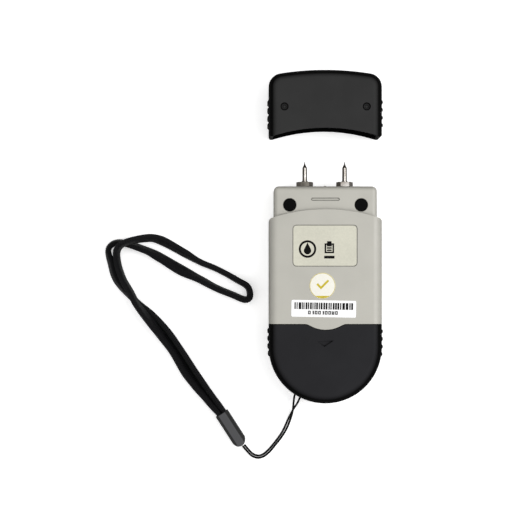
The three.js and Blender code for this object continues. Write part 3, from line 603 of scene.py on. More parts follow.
# ---- routes of the strap and the cords ----
# The strap's rows are x, y, lift above the table, roll in degrees; 90 stands on edge.
STRAP_ROUTE = [
    (-51.3, -86.2, 0.45, 84), (-56.9, -79, 0.1, 74), (-62.9, -71.5, 0, 60), (-67, -66, 0, 54),
    (-73.2, -55.3, 0, 54), (-77.1, -50.1, 0.4, 54), (-81.9, -44.2, 2.8, 64),
    (-90.6, -32.8, 6.9, 78), (-93.8, -26.8, 5.8, 80), (-97.7, -20.4, 3.4, 80),
    (-100.3, -12.8, 2.6, 80), (-100.6, -7.2, 4, 80), (-98.4, -3.9, 6.7, 80),
    (-94.2, -2, 6.9, 78), (-83.7, -0.4, 1.8, 70), (-79, -1.7, 0.3, 60), (-68.5, -7.4, 0, 66),
    (-60.5, -12, 0, 82), (-52.2, -15.5, 0, 84), (-42.4, -20.8, 0, 82), (-36.9, -24.5, 0, 80),
    (-36.2, -29.2, 0, 80), (-38, -30.4, 0, 80), (-44.6, -28, 0, 80), (-52.6, -24.7, 0, 78),
    (-60.5, -20.5, 0, 72), (-70.2, -15.7, 0, 50), (-80.2, -9.7, 0, 60), (-87.4, -6.1, 0, 74),
    (-101.2, -2.6, 0, 80), (-105, -5.6, 0, 80), (-103.8, -12.4, 0, 70), (-101.2, -20.6, 0, 70),
    (-90.9, -31.9, 0, 76), (-84, -37.4, 0.3, 78), (-76, -45.7, 1.1, 80), (-69.1, -55.4, 1.2, 82),
    (-62, -66.4, 0.8, 80), (-54.5, -77.2, 0.4, 82), (-48.7, -84.5, 0.45, 86),
]
CORD_ROUTES = {
    "left": [
        (-13.3, -74.9, 6), (-14.3, -76.9, 6), (-14.7, -79.4, 5.4), (-14.9, -82, 3.8),
        (-15.3, -85.5, 1.6), (-16.3, -89.1, 0.7), (-18, -93.4, 0.6), (-20.4, -97.4, 0.6),
        (-23.8, -101.8, 0.6), (-26.6, -105.1, 0.6), (-29.7, -107.4, 0.6), (-32.4, -107.9, 0.7),
        (-35.2, -106.8, 1.2), (-37.8, -104.1, 2), (-39.6, -101.9, 2.6),
    ],
    "right": [
        (-10.8, -76.2, 6), (-11.8, -78.2, 6), (-13, -80.7, 5.6), (-14.8, -83.6, 4.4),
        (-16.3, -86.6, 2.2), (-17.7, -89.6, 0.8), (-19.2, -93.1, 0.6), (-21.3, -96.8, 0.6),
        (-24.5, -101, 0.6), (-27.2, -104.1, 0.6), (-29.8, -106.2, 0.6), (-32.1, -106.8, 0.7),
        (-34.7, -105.8, 1.2), (-37, -103.4, 2), (-38.7, -101.3, 2.6),
    ],
}


def strap_rest(roll):
    """Height of the strap's middle when its lower edge touches the table."""
    a = math.radians(roll)
    return 0.5 * (STRAP_WIDTH * math.sin(a) + STRAP_THICKNESS * math.cos(a)) + STRAP_CLEARANCE


SPAN_STEPS = 24  # samples between two points of a route


def smooth_route(points, values, step):
    """Points about `step` apart on the centripetal spline through the points, and its length.

    Each point has its own value, eased between the given ones.
    """
    points = [Vector(p) for p in points]
    ends = [2 * points[0] - points[1], 2 * points[-1] - points[-2]]
    around = [ends[0], *points, ends[1]]
    samples = []
    for i in range(len(points) - 1):
        p0, p1, p2, p3 = around[i : i + 4]
        d0, d1, d2 = ((b - a).length ** 0.5 for a, b in ((p0, p1), (p1, p2), (p2, p3)))
        leave = ((p1 - p0) / d0 - (p2 - p0) / (d0 + d1) + (p2 - p1) / d1) * d1
        enter = ((p2 - p1) / d1 - (p3 - p1) / (d1 + d2) + (p3 - p2) / d2) * d1
        for k in range(SPAN_STEPS):
            t = k / SPAN_STEPS
            place = p1 + leave * t + (3 * (p2 - p1) - 2 * leave - enter) * t**2
            place += (2 * (p1 - p2) + leave + enter) * t**3
            ease = t * t * (3 - 2 * t)
            samples.append((place, values[i] + (values[i + 1] - values[i]) * ease))
    samples.append((points[-1], values[-1]))
    reach = [0.0]
    for (a, _), (b, _) in zip(samples, samples[1:]):
        reach.append(reach[-1] + (b - a).length)
    count = max(2, round(reach[-1] / step))
    route, k = [], 0
    for i in range(count + 1):
        at = reach[-1] * i / count
        while k < len(reach) - 2 and reach[k + 1] < at:
            k += 1
        share = (at - reach[k]) / max(reach[k + 1] - reach[k], 1e-9)
        (a, va), (b, vb) = samples[k], samples[k + 1]
        route.append((a.lerp(b, share), va + (vb - va) * share))
    return route, reach[-1]


def tube_along(name, route, section):
    """Sweeps section(distance) along the route. Its first axis is level at roll 0."""
    rings, distance = [], 0.0
    distances = []
    for i, (place, roll) in enumerate(route):
        before = route[max(i - 1, 0)][0]
        after = route[min(i + 1, len(route) - 1)][0]
        if i:
            distance += (place - before).length
        distances.append(distance)
        tangent = (after - before).normalized()
        side = Vector((0, 0, 1)).cross(tangent).normalized()
        width = Matrix.Rotation(math.radians(roll), 3, tangent) @ side
        depth = tangent.cross(width)
        rings.append([place + width * a + depth * b for a, b in section(distance)])
    return ring_stack(name, rings), distances


STRAP_SIDES = 16
RIB = 0.8  # distance between the ribs of the webbing
RIB_DEPTH = 0.13
STRAP_SWELL = 0.2  # how far the ribs stand out of the tape on either face
STRAP_TUCK = 2.2  # how far both ends go into the ferrule
STRAP_SQUEEZE = 0.25  # how far the ferrule presses each end towards the other
SQUEEZE_RUN = 3.0  # length over which the squeezed strap swells to its full size
FERRULE = {"x": -49.85, "y": -85.75, "length": 18.4, "half": 3.3, "height": 7.3, "heading": -57.2}


def strap_section(distance, squeeze):
    """A flat oval with ribs across it, half a rib out of step between a face's two halves."""
    points = []
    for i in range(STRAP_SIDES):
        a = 2 * PI * (i + 0.5) / STRAP_SIDES
        across = math.copysign(abs(math.cos(a)) ** 0.5, math.cos(a))
        through = math.copysign(abs(math.sin(a)) ** 0.38, math.sin(a))
        phase = PI if across * through > 0 else 0.0
        rib = 0.5 + 0.5 * math.sin(2 * PI * distance / RIB + phase)
        width = 0.5 * STRAP_WIDTH * (1 - 0.07 * squeeze) - 0.06 * rib
        thickness = 0.5 * STRAP_THICKNESS * (1 - 0.15 * squeeze) + STRAP_SWELL - RIB_DEPTH * rib
        points.append((across * width, through * thickness))
    return points


def add_weave_map(obj, distances, sides, girth):
    """A UV map in millimetres: along the tape, and round its section."""
    layer = obj.data.uv_layers.new(name="weave")
    for polygon in obj.data.polygons:
        corners = [divmod(v, sides) for v in polygon.vertices]
        wraps = any(i == 0 for _, i in corners) and any(i == sides - 1 for _, i in corners)
        for loop, (ring, i) in zip(polygon.loop_indices, corners):
            turn = sides if wraps and i == 0 else i
            layer.data[loop].uv = (distances[ring], girth * turn / sides)


def make_strap():
    places = [(x, y, strap_rest(roll) + lift) for x, y, lift, roll in STRAP_ROUTE]
    rolls = [row[3] for row in STRAP_ROUTE]
    # Both ends go on into the ferrule, beyond where the frame's solid stops.
    heading = math.radians(FERRULE["heading"])
    tuck = Vector((math.cos(heading), math.sin(heading), 0)) * STRAP_TUCK
    inward = Vector((-math.sin(heading), math.cos(heading), 0)) * STRAP_SQUEEZE
    places[0] = Vector(places[0]) + inward
    places[-1] = Vector(places[-1]) - inward
    places = [places[0] + tuck, *places, places[-1] + tuck]
    rolls = [rolls[0], *rolls, rolls[-1]]
    route, length = smooth_route(places, rolls, RIB / 5)

    def section(distance):
        from_end = min(distance, length - distance)
        return strap_section(distance, 1 - min(1.0, max(0.0, from_end - STRAP_TUCK) / SQUEEZE_RUN))

    obj, distances = tube_along("strap", route, section)
    add_weave_map(obj, distances, STRAP_SIDES, 2 * (STRAP_WIDTH + STRAP_THICKNESS))
    settle(obj, "strap_webbing", "webbing_black", "wrist_strap", crease=70.0)
    return obj, [place * MM for place, _ in route[::6]], length * MM


CORD_SIDES = 12
BRAID = 1.5  # length of one turn of the braid


def cord_section(distance):
    """A round section with the lozenge bumps of a braid."""
    points = []
    for i in range(CORD_SIDES):
        a = 2 * PI * i / CORD_SIDES
        lean = 2 * PI * distance / BRAID
        bump = math.cos(2 * a - lean) * math.cos(2 * a + lean)
        r = CORD_R * (1.06 + 0.06 * bump)
        points.append((r * math.cos(a), r * math.sin(a)))
    return points


def make_cord(side):
    points = CORD_ROUTES[side]
    route, length = smooth_route(points, [0.0] * len(points), 0.2)
    obj, _ = tube_along("cord", route, cord_section)
    settle(obj, f"cord_{side}", "cord_black", f"lanyard_cord_{side}", crease=70.0)
    return obj, [place * MM for place, _ in route[::4]], length * MM


# ---- ferrule ----
FERRULE_CHAMFER = 1.5
FERRULE_EDGE_R = 0.35
FERRULE_LIFT = 0.05
MOUTH_WALL = 0.55  # of the ferrule round its open end
MOUTH_DEPTH = 2.4
EYE_R = 1.0  # of the hole that the cords go into


def make_ferrule():
    """An eight-sided bar along X with a rounded cord end and an open, hollow strap end."""
    half, length, height = FERRULE["half"], FERRULE["length"], FERRULE["height"]
    c = FERRULE_CHAMFER

    def plan(inset):
        r = half - inset
        return [(inset, r), (inset, -r)] + arc(length - half, 0, r, -PI / 2, PI / 2, 24)

    def octagon(wall, start, end, chamfer):
        """An eight-sided bar along X that lies `wall` inside the outer faces."""
        h, z0, z1 = half - wall, wall, height - wall
        corners = [(h - chamfer, z0), (h, z0 + chamfer), (h, z1 - chamfer), (h - chamfer, z1)]
        corners += [(-y, z) for y, z in reversed(corners)]
        return turned(turned(prism(fixed(corners), start, end), PI / 2, "X"), PI / 2, "Z")

    blank = keep(prism(plan, 0, height, FERRULE_EDGE_R, 3), octagon(0.0, -1, length + 1, c))
    mouth = octagon(MOUTH_WALL, -2, MOUTH_DEPTH, c - 0.45)
    lip = octagon(0.35, -1.5, 0.3, c - 0.2)
    eye = moved(turned(disc(EYE_R, -1, 1.2, segments=24), PI / 2, "Y"), (length, 0, 0.45 * height))
    blank = cut(cut(blank, mouth, lip), eye)
    turned(blank, math.radians(FERRULE["heading"]), "Z")
    moved(blank, (FERRULE["x"], FERRULE["y"], FERRULE_LIFT))
    return settle(blank, "ferrule_shell", "ferrule_grey", "strap_ferrule", crease=28.0)


strap, strap_path, strap_length = make_strap()
cords = {side: make_cord(side) for side in CORD_ROUTES}
ferrule = make_ferrule()
ropes = [(strap, strap_path, strap_length, STRAP_WIDTH, "medium")]
ropes += [(cord, path, length, 2 * CORD_R, "limp") for cord, path, length in cords.values()]


# ---- outlines ----
def rounded_rect(x0, x1, y0, y1, r, steps=8):
    corners = ((x1 - r, y0 + r), (x1 - r, y1 - r), (x0 + r, y1 - r), (x0 + r, y0 + r))
    points = []
    for quarter, (x, y) in enumerate(corners):
        points += arc(x, y, r, 0.5 * PI * (quarter - 1), 0.5 * PI * quarter, steps)
    return points


def rect_outline(x0, x1, y0, y1, r, steps=8):
    def outline(inset):
        return rounded_rect(x0 + inset, x1 - inset, y0 + inset, y1 - inset, r - inset, steps)

    return outline


def body_outline(inset, top=40.0):
    r = HALF_WIDTH - inset
    return [(r, top), (-r, top)] + arc(0, END_Y, r, PI, 2 * PI, 80)


def crowned_outline(half, crown_y, crown_r, corner_r, bottom_y, inset=0.0):
    """A strip along Y that ends in a crown at crown_y with round corners."""
    corner_x = half - corner_r
    centre = crown_y - crown_r
    corner_y = centre + math.sqrt((crown_r - corner_r) ** 2 - corner_x**2)
    lean = math.atan2(corner_y - centre, corner_x)
    points = [(inset - half, bottom_y), (half - inset, bottom_y)]
    points += arc(corner_x, corner_y, corner_r - inset, 0, lean, 14)
    points += arc(0, centre, crown_r - inset, lean, PI - lean, 28)[1:-1]
    points += arc(-corner_x, corner_y, corner_r - inset, PI - lean, PI, 14)
    return points


def cap_outline(inset):
    return crowned_outline(HALF_WIDTH, CAP_CROWN_Y, CAP_CROWN_R, CAP_CORNER_R, CAP_ROOT, inset)


def below_shoulder(crown, half, corner_r):
    return prism(fixed(crowned_outline(half, crown, SHOULDER_R, corner_r, END)), UNDER, OVER)


def bezier(p0, p1, p2, p3, steps):
    points = []
    for i in range(1, steps + 1):
        t = i / steps
        weights = ((1 - t) ** 3, 3 * t * (1 - t) ** 2, 3 * t * t * (1 - t), t**3)
        pairs = list(zip(weights, (p0, p1, p2, p3)))
        points.append(tuple(sum(w * p[k] for w, p in pairs) for k in (0, 1)))
    return points


def cover_edge_outline(drop):
    """All below the edge between shell and battery cover, which dips in its middle as a tongue."""
    y = COVER_Y - drop
    tip = y - TONGUE_DROP
    h = TONGUE_HALF
    points = [(-FAR, END), (FAR, END), (FAR, y), (h, y)]
    points += bezier((h, y), (0.78 * h, y), (0.58 * h, tip), (0, tip), 20)
    points += bezier((0, tip), (-0.58 * h, tip), (-0.78 * h, y), (-h, y), 20)
    return points + [(-FAR, y)]


def below_cover_edge(drop):
    return prism(fixed(cover_edge_outline(drop)), UNDER, OVER)


# ---- shared volumes ----
def ridge(x, y):
    levels = (RIDGE_Z0, THICKNESS - RIDGE_Z0)
    grip = prism(lambda inset: circle(RIDGE_R - inset, 20), *levels, RIDGE_END_R, 5)
    return moved(grip, (x - math.copysign(RIDGE_R - RIDGE_PROUD, x), y, 0))


def side_x(y):
    return HALF_WIDTH if y > END_Y else math.sqrt(HALF_WIDTH**2 - (END_Y - y) ** 2)


def whole_body():
    main = keep(
        prism(body_outline, 0, THICKNESS, EDGE_R, 10),
        below_shoulder(SHOULDER_Y, HALF_WIDTH, SHOULDER_CORNER_R),
    )
    outline = rect_outline(-NECK_HALF, NECK_HALF, NECK_ROOT, NECK_END, NECK_CORNER)
    neck = prism(outline, NECK_DROP, NECK_TOP, NECK_EDGE_R)
    ridges = [ridge(side * side_x(y), y) for y in RIDGE_YS for side in (-1, 1)]
    return join(main, neck, *ridges)


def room():
    """The hollow between the battery end and the shoulder, and the hollow of the neck."""
    main = prism(lambda inset: body_outline(WALL + inset), WALL, THICKNESS - WALL, EDGE_R - WALL, 4)
    main = keep(main, below_shoulder(SHOULDER_Y - WALL, FAR, 1))
    main = cut(main, slab(END, BAY_WALL[1], UNDER, OVER))
    half = NECK_HALF - WALL
    throat = box(-half, half, NECK_ROOT + 1, NECK_END - WALL, NECK_DROP + WALL, NECK_TOP - WALL)
    return join(main, throat)


def pin_hole(x):
    bore = turned(disc(SHANK_R + PIN_CLEARANCE, 20, 26, segments=32), -PI / 2, "X")
    return moved(bore, (x, 0, SPLIT_Z))


# The two lug holes, round the battery end's middle, that the cords come out of.
LUG_Z = 6.0
LUG_ANGLE = math.radians(242.4)
LUG_STEP = math.radians(3)
LUG_BORE_R = 0.85


def lug_bore(side):
    angle = LUG_ANGLE + side * LUG_STEP
    bore = turned(disc(LUG_BORE_R, -4.5, 3, segments=20), PI / 2, "Y")
    turned(bore, LUG_ANGLE, "Z")
    return moved(bore, (HALF_WIDTH * math.cos(angle), END_Y + HALF_WIDTH * math.sin(angle), LUG_Z))


def back_half():
    return slab(END, FAR, SPLIT_Z + GAP, OVER)


body = whole_body()

# ---- back shell ----
LABEL = {"x": -0.3, "y": -4.3, "half_width": 15.15, "half_height": 9.65, "r": 1.7, "recess": 0.35}
LABEL_GROOVE = (-0.1, 0.22, 0.8)  # its inner and outer margin round the label, and its depth
STEM_R = 4.0  # of the screw posts
SCREW_BORE_R = 1.6
PLUG_SEAT = {"r": 3.15, "z": 19.3, "bevel": 0.25}
SLOT = {"half": 6.75, "y0": 17.1, "y1": 18.5, "r": 0.69, "depth": 0.8}
SLOT_RIB = {"half": 6.42, "y0": 17.42, "y1": 18.18, "r": 0.37, "drop": 0.2}
TAB_SLOT = (-5.6, 5.6, -45, COVER_Y + 2, 20.4, 22.8)
NUB = ((-1.1, NECK_END - 0.3), (1.1, NECK_END - 0.3), (0, NECK_END + 0.7))
NUB_TOP = 17.0


def label_outline(margin):
    w = LABEL["half_width"] + margin
    h = LABEL["half_height"] + margin
    x, y = LABEL["x"], LABEL["y"]
    return rect_outline(x - w, x + w, y - h, y + h, LABEL["r"] + margin)


def stadium(row):
    return rect_outline(-row["half"], row["half"], row["y0"], row["y1"], row["r"])


def plug_seat(side):
    r, top = PLUG_SEAT["r"], NECK_TOP + 0.1
    rim = [(r, NECK_TOP - 0.2), (r + PLUG_SEAT["bevel"], top), (0, top)]
    sink = lathe([(0, PLUG_SEAT["z"]), (r, PLUG_SEAT["z"]), *rim])
    return moved(sink, (side * NECK_SCREW[0], NECK_SCREW[1], 0))


def make_back_shell():
    shell = keep(copied(body), back_half())
    shell = cut(shell, below_cover_edge(-GAP), room())
    x, y = NECK_SCREW
    stems = [disc(STEM_R, SPLIT_Z + GAP, NECK_TOP - 1, s * x, y) for s in (-1, 1)]
    floor_z = BAY_FLOOR_Z - BAY_FLOOR_THICKNESS
    floor = prism(lambda inset: body_outline(BAY_INSET + inset, BAY_WALL[1]), floor_z, BAY_FLOOR_Z)
    wall = box(-BAY_WALL_HALF, BAY_WALL_HALF, *BAY_WALL, floor_z, BAY_WALL_TOP)
    ring = disc(CELL_RING["outer"], BAY_FLOOR_Z - 0.5, CELL_RING["top"], 0, CELL_Y, 64)
    ring = cut(ring, disc(CELL_RING["inner"], 0, OVER, 0, CELL_Y, 64))
    nub = prism(fixed(NUB), SPLIT_Z + GAP, NUB_TOP)
    shell = join(shell, *stems, floor, wall, ring, nub)
    holes = []
    for s in (-1, 1):
        holes.append(plug_seat(s))
        holes.append(disc(SCREW_BORE_R, SPLIT_Z - 1, 20, s * x, y, 24))
        holes.append(disc(SCREW_BORE_R, 10, 14, s * BAY_SCREW[0], BAY_SCREW[1], 24))
    half = CELL_CONTACT["half"]
    notch = (CELL_CONTACT["x0"], CELL_CONTACT["x1"], CELL_Y - half, CELL_Y + half)
    holes.append(box(*notch, BAY_FLOOR_Z, CELL_CONTACT["top"]))
    holes.append(box(*TAB_SLOT))
    inner, outer, depth = LABEL_GROOVE
    holes.append(prism(label_outline(outer), THICKNESS - LABEL["recess"], OVER))
    groove = prism(label_outline(outer), THICKNESS - depth, THICKNESS)
    holes.append(cut(groove, prism(label_outline(inner), 0, OVER)))
    holes.append(prism(stadium(SLOT), NECK_TOP - SLOT["depth"], NECK_TOP + 1))
    holes += [pin_hole(x) for x in (-PIN_X, PIN_X)]
    shell = cut(shell, *holes)
    top = NECK_TOP - SLOT_RIB["drop"]
    rib = prism(stadium(SLOT_RIB), NECK_TOP - SLOT["depth"] - 0.1, top, 0.12, 2)
    settle(join(shell, rib), "shell_back", "shell_grey", "back_shell")


# ---- front shell and grip ----
WINDOW = {"half": 17.0, "y0": -20.5, "y1": 2.5, "depth": 1.5}
VIEW = {"half": 14.5, "y0": -17.5, "y1": -0.5}  # the opening under the window
END_TOP = 45.0  # past every cut, so that only the lower edge is rounded
END_WALL = 1.6  # of the front shell under the grip
BUTTON_GAP = 0.25


def end_solid(inset):
    return prism(lambda more: body_outline(inset + more), inset, END_TOP, EDGE_R - inset)


def make_front_shell():
    shell = keep(copied(body), slab(COVER_Y + GAP, FAR, UNDER, OVER))
    skin = GRIP_SKIN + GAP
    end = keep(end_solid(skin), slab(END, COVER_Y + 2, UNDER, OVER))
    shell = keep(join(shell, end), slab(END, FAR, UNDER, SPLIT_Z - GAP))
    space = keep(end_solid(skin + END_WALL), slab(END, COVER_Y + 2.6, UNDER, OVER))
    shell = cut(shell, room(), space)
    w = WINDOW["half"] + 0.2
    seat = rect_outline(-w, w, WINDOW["y0"] - 0.2, WINDOW["y1"] + 0.2, 2.2)
    opening = rect_outline(-VIEW["half"], VIEW["half"], VIEW["y0"], VIEW["y1"], 1)
    tools = [prism(seat, UNDER, WINDOW["depth"]), prism(opening, UNDER, 4)]
    tools += [disc(BUTTON_R + BUTTON_GAP, UNDER, 5, x, y) for x, y in BUTTONS.values()]
    tools += [lug_bore(-1), lug_bore(1)] + [pin_hole(x) for x in (-PIN_X, PIN_X)]
    settle(cut(shell, *tools), "shell_front", "shell_grey", "front_shell")


def make_front_grip():
    grip = keep(copied(body), slab(END, COVER_Y - GAP, UNDER, SPLIT_Z - GAP))
    tools = [end_solid(GRIP_SKIN)]
    r = BUTTON_R + BUTTON_GAP
    for x, y in BUTTONS.values():
        collar = lathe([(0, -0.1), (r + 0.5, -0.1), (r, 0.4), (r, 5), (0, 5)])
        tools.append(moved(collar, (x, y, 0)))
    grip = cut(grip, *tools, lug_bore(-1), lug_bore(1))
    settle(grip, "grip_front", "cover_black", "front_grip")


# ---- battery cover ----
ARROW = ((-4.1, -49.7), (-0.6, -52.3), (3.8, -49.3))
ARROW_DEPTHS = (0.1, 0.85, 0.75)  # at the corners, deepest along the right flank
TAB_HALF = 5.0  # of the tab that goes under the shell's edge
TAB = ((-48, -38.3, 21, 22.3), (-48, -45.5, 21.5, 23.5))  # y0, y1, z0, z1: the tab, its root


def make_battery_cover():
    cover = keep(copied(body), back_half())
    cover = keep(cover, below_cover_edge(GAP))
    top = THICKNESS - WALL - 0.1
    cover = cut(cover, prism(lambda inset: body_outline(WALL + inset), WALL, top, EDGE_R - WALL, 5))
    cover = join(cover, *[box(-TAB_HALF, TAB_HALF, *extent) for extent in TAB])
    low = [(x, y, THICKNESS - depth) for (x, y), depth in zip(ARROW, ARROW_DEPTHS)]
    arrow = ring_stack("arrow", [low, [(x, y, OVER) for x, y in ARROW]])
    settle(cut(cover, arrow), "cover_battery", "cover_black", "battery_cover", body="battery_door")


# ---- cap ----
DIMPLE = {"x": 19.5, "y": 23.3, "r": 1.9, "depth": 0.35, "pit": 0.95, "pit_depth": 1.1}
CAP_ROOT = -10.0  # inside the body, from where the arched edge cuts it off


def cap_tip(side):
    """What rounds the tip between the cap's side and its arched edge."""
    centre = SHOULDER_Y + CAP_GAP - SHOULDER_R
    x = HALF_WIDTH - CAP_TIP_R
    y = centre + math.sqrt((SHOULDER_R + CAP_TIP_R) ** 2 - x**2)
    lean = math.atan2(y - centre, x)
    rounded = arc(x, y, CAP_TIP_R, lean - PI, 0, 12)
    points = rounded + [(HALF_WIDTH + 1, y), (HALF_WIDTH + 1, y - 4), (x - 1.5, y - 4)]
    points = [(side * px, py) for px, py in points]
    if side > 0:
        points.reverse()
    return prism(fixed(points), UNDER, OVER)


def dimple(side):
    """A shallow ring with a deeper pit in its middle."""
    floor = THICKNESS - DIMPLE["depth"]
    pit_floor = THICKNESS - DIMPLE["pit_depth"]
    r, pit = DIMPLE["r"], DIMPLE["pit"]
    top = THICKNESS + 0.2
    wall = [(0, pit_floor), (pit - 0.25, pit_floor), (pit, floor - 0.25), (pit + 0.3, floor - 0.2)]
    rim = [(r - 0.35, floor + 0.05), (r, THICKNESS - 0.02), (r + 0.1, top), (0, top)]
    return moved(lathe(wall + rim), (side * DIMPLE["x"], DIMPLE["y"], 0))


def make_cap():
    cap = prism(cap_outline, 0, THICKNESS, EDGE_R, 10)
    cap = join(cap, *[ridge(side * HALF_WIDTH, y) for y in CAP_RIDGE_YS for side in (-1, 1)])
    levels = (NECK_DROP - CAP_GAP, NECK_TOP + CAP_GAP)
    inside = prism(lambda inset: cap_outline(CAP_WALL + inset), *levels, NECK_EDGE_R + CAP_GAP, 6)
    cap = cut(cap, inside, below_shoulder(SHOULDER_Y + CAP_GAP, FAR, 1), cap_tip(-1), cap_tip(1))
    for side in (-1, 1):
        cap = cut(cap, dimple(side))
    settle(moved(cap, (0, CAP_TRAVEL, 0)), "cap_shell", "cap_black", "protective_cap", body="cap")


make_back_shell()
make_front_shell()
make_front_grip()
make_battery_cover()
make_cap()
discard(body)


# ---- pins, nuts and plugs ----
def along_y(obj, x):
    """Turns a piece made along Z to lie along Y, at x and halfway up."""
    return moved(turned(obj, -PI / 2, "X"), (x, 0, SPLIT_Z))


def make_pin(name, x):
    shoulder = NUT_END + 0.5
    profile = [(0, PIN_FOOT), (SHANK_R, PIN_FOOT), (SHANK_R, shoulder - 0.2)]
    profile += [(SHANK_R - 0.2, shoulder), (PIN_R, shoulder), (PIN_R, PIN_TIP - 3.2)]
    taper = ((PIN_R - 0.04, 3.05), (0.5, 1.9), (0.42, 1.65), (0.09, 0.12), (0, 0))
    profile += [(r, PIN_TIP - back) for r, back in taper]
    pin = along_y(lathe(profile, 40), x)
    settle(pin, f"pin_{name}", "nickel", f"electrode_pin_{name}", crease=25.0)


def make_nut(name, x):
    corner = NUT_FLATS / math.sqrt(3)
    face = NUT_FLATS / 2 - 0.1
    low, high = NUT_START + NUT_CHAMFER, NUT_END - NUT_CHAMFER
    flanks = [(face, NUT_START), (corner, low), (corner, high), (face, NUT_END)]
    cone = lathe([(0, NUT_START), *flanks, (0, NUT_END)], 72)
    bore, mouth, foot, top = SHANK_R + 0.25, SHANK_R + 0.65, NUT_START - 1, NUT_END + 0.05
    thread = lathe([(0, foot), (bore, foot), (bore, NUT_END - 0.35), (mouth, top), (0, top)])
    hexagon = prism(fixed(circle(corner, 6)), NUT_START, NUT_END)
    nut = along_y(cut(keep(hexagon, cone), thread), x)
    # The left nut takes the darker copy of nickel, which is painted shade.
    look = "nickel_shaded" if name == "left" else "nickel"
    settle(nut, f"nut_{name}", look, f"pin_nut_{name}", slot="nickel", crease=25.0)


def make_plug(name, side):
    plug = lathe([(0, 21.3), (2.95, 21.3), (2.98, 22.7), (2.8, 22.9), (2.4, 22.96), (0, 22.98)])
    moved(plug, (side * NECK_SCREW[0], NECK_SCREW[1], 0))
    settle(plug, f"plug_{name}", "plug_rubber", f"screw_plug_{name}")


for name, side in (("left", -1), ("right", 1)):
    make_pin(name, side * PIN_X)
    make_nut(name, side * PIN_X)
    make_plug(name, side)


# ---- printed marks ----
INK_THICKNESS = 0.02


def plates(polygons, z):
    """Thin flat plates with the given outlines, their lower faces at z, as one object."""
    vertices, faces = [], []
    for outline in polygons:
        first, count = len(vertices), len(outline)
        vertices += [(x, y, z) for x, y in outline]
        vertices += [(x, y, z + INK_THICKNESS) for x, y in outline]
        faces.append(tuple(reversed(range(first, first + count))))
        faces.append(tuple(range(first + count, first + 2 * count)))
        for i in range(count):
            j = (i + 1) % count
            faces.append((first + i, first + j, first + count + j, first + count + i))
    return mesh_object("plates", vertices, faces)


def band(x, y, inner, outer, start, end, steps=24):
    """Part of a flat ring, in pieces of at most half a turn."""
    count = math.ceil((end - start) / PI)
    edges = [start + (end - start) * i / count for i in range(count + 1)]
    parts = []
    for a, b in zip(edges, edges[1:]):
        parts.append(arc(x, y, outer, a, b, steps) + arc(x, y, inner, b, a, steps))
    return parts


def drop_outline(x, y, r, height):
    """A water drop with its round end at (x, y)."""
    lean = math.asin(r / height)
    return arc(x, y, r, PI - lean, 2 * PI + lean, 20) + [(x, y + height)]


def add_marks(name, polygons, z, look, body="housing"):
    settle(plates(polygons, z), name, look, body=body, crease=20.0)


LABEL_TOP = 24.95
STICKER_TOP = 25.13


def rating_marks():
    """Generic marks: a drop in a ring on the left, and a clipboard above a bar on the right."""
    x, y = -8.6, -5.9
    ring = band(x, y, 3.15, 4.15, 0, 2 * PI, 32)
    drop = [drop_outline(x, y - 0.8, 1.75, 3.9)]
    x0, x1, y0, y1, line = -0.5, 4.0, -7.9, -3.2, 0.75
    board = [
        bar(x0, x0 + line, y0, y1),
        bar(x1 - line, x1, y0, y1),
        bar(x0 + line, x1 - line, y0, y0 + line),
        bar(x0 + line, x1 - line, y1 - line, y1),
        bar(x0 + 1.2, x1 - 1.2, y1, y1 + 1.0),
    ]
    rows = [bar(x0 + 1.1, x1 - 1.1, y0 + 1.05 + 1.1 * k, y0 + 1.75 + 1.1 * k) for k in range(3)]
    under = [bar(-0.7, 4.2, -10.4, -9.1)]
    return ring + drop + board + rows + under


# x0, x1, y0, y1 of the strokes that the abstract marks are made of.
GLYPH_STROKES = (
    (0.0, 0.45, 0.0, 1.7),
    (0.8, 1.25, 0.0, 1.7),
    (0.45, 0.8, 0.65, 1.05),
    (0.45, 0.8, 1.3, 1.7),
    (0.45, 0.8, 0.0, 0.4),
)


def serial_marks(rng):
    """Bars of random widths above a row of abstract marks made of random strokes."""
    polygons = []
    x = -13.9
    while x < 13.3:
        width = rng.choice((0.5, 0.6, 0.85, 1.2))
        polygons.append(bar(x, x + width, -0.35, 2.85))
        x += width + rng.choice((0.26, 0.3, 0.4, 0.5))
    x, y = -7.4, -2.75
    while x < 6.6:
        for x0, x1, y0, y1 in rng.sample(GLYPH_STROKES, 4):
            polygons.append(bar(x + x0, x + x1, y + y0, y + y1))
        x += 1.6
    return polygons


def seal_marks():
    """A thin ring, a filled segment at its foot and a tick."""
    x, y = SEAL
    tick = [(-2.9, 0.5), (-2.2, 1.25), (-0.7, -0.3), (2.5, 2.9), (3.2, 2.2), (-0.7, -1.7)]
    ring = band(x, y, 5.85, 6.08, 0, 2 * PI, 32)
    return ring + [arc(x, y, 5.8, 1.31 * PI, 1.69 * PI, 20), [(x + a, y + b) for a, b in tick]]


SEAL = (-1.5, -23.3)
SERIAL = {"x": -0.9, "y": -34.2, "turn": math.radians(-1)}
SERIAL_SEED = 4
add_marks("rating_print", rating_marks(), LABEL_TOP, "black_ink")
serial = plates(serial_marks(random.Random(SERIAL_SEED)), STICKER_TOP)
moved(turned(serial, SERIAL["turn"], "Z"), (SERIAL["x"], SERIAL["y"], 0))
settle(serial, "serial_print", "black_ink", crease=20.0)
add_marks("seal_print", seal_marks(), STICKER_TOP, "gold_ink")

# ---- display and keys on the front ----
LCD_PRINT_Z = 2.35
BORDER_Z = 1.43
ICON_Z = 0.475
DISPLAY_Y = 0.5 * (WINDOW["y0"] + WINDOW["y1"])


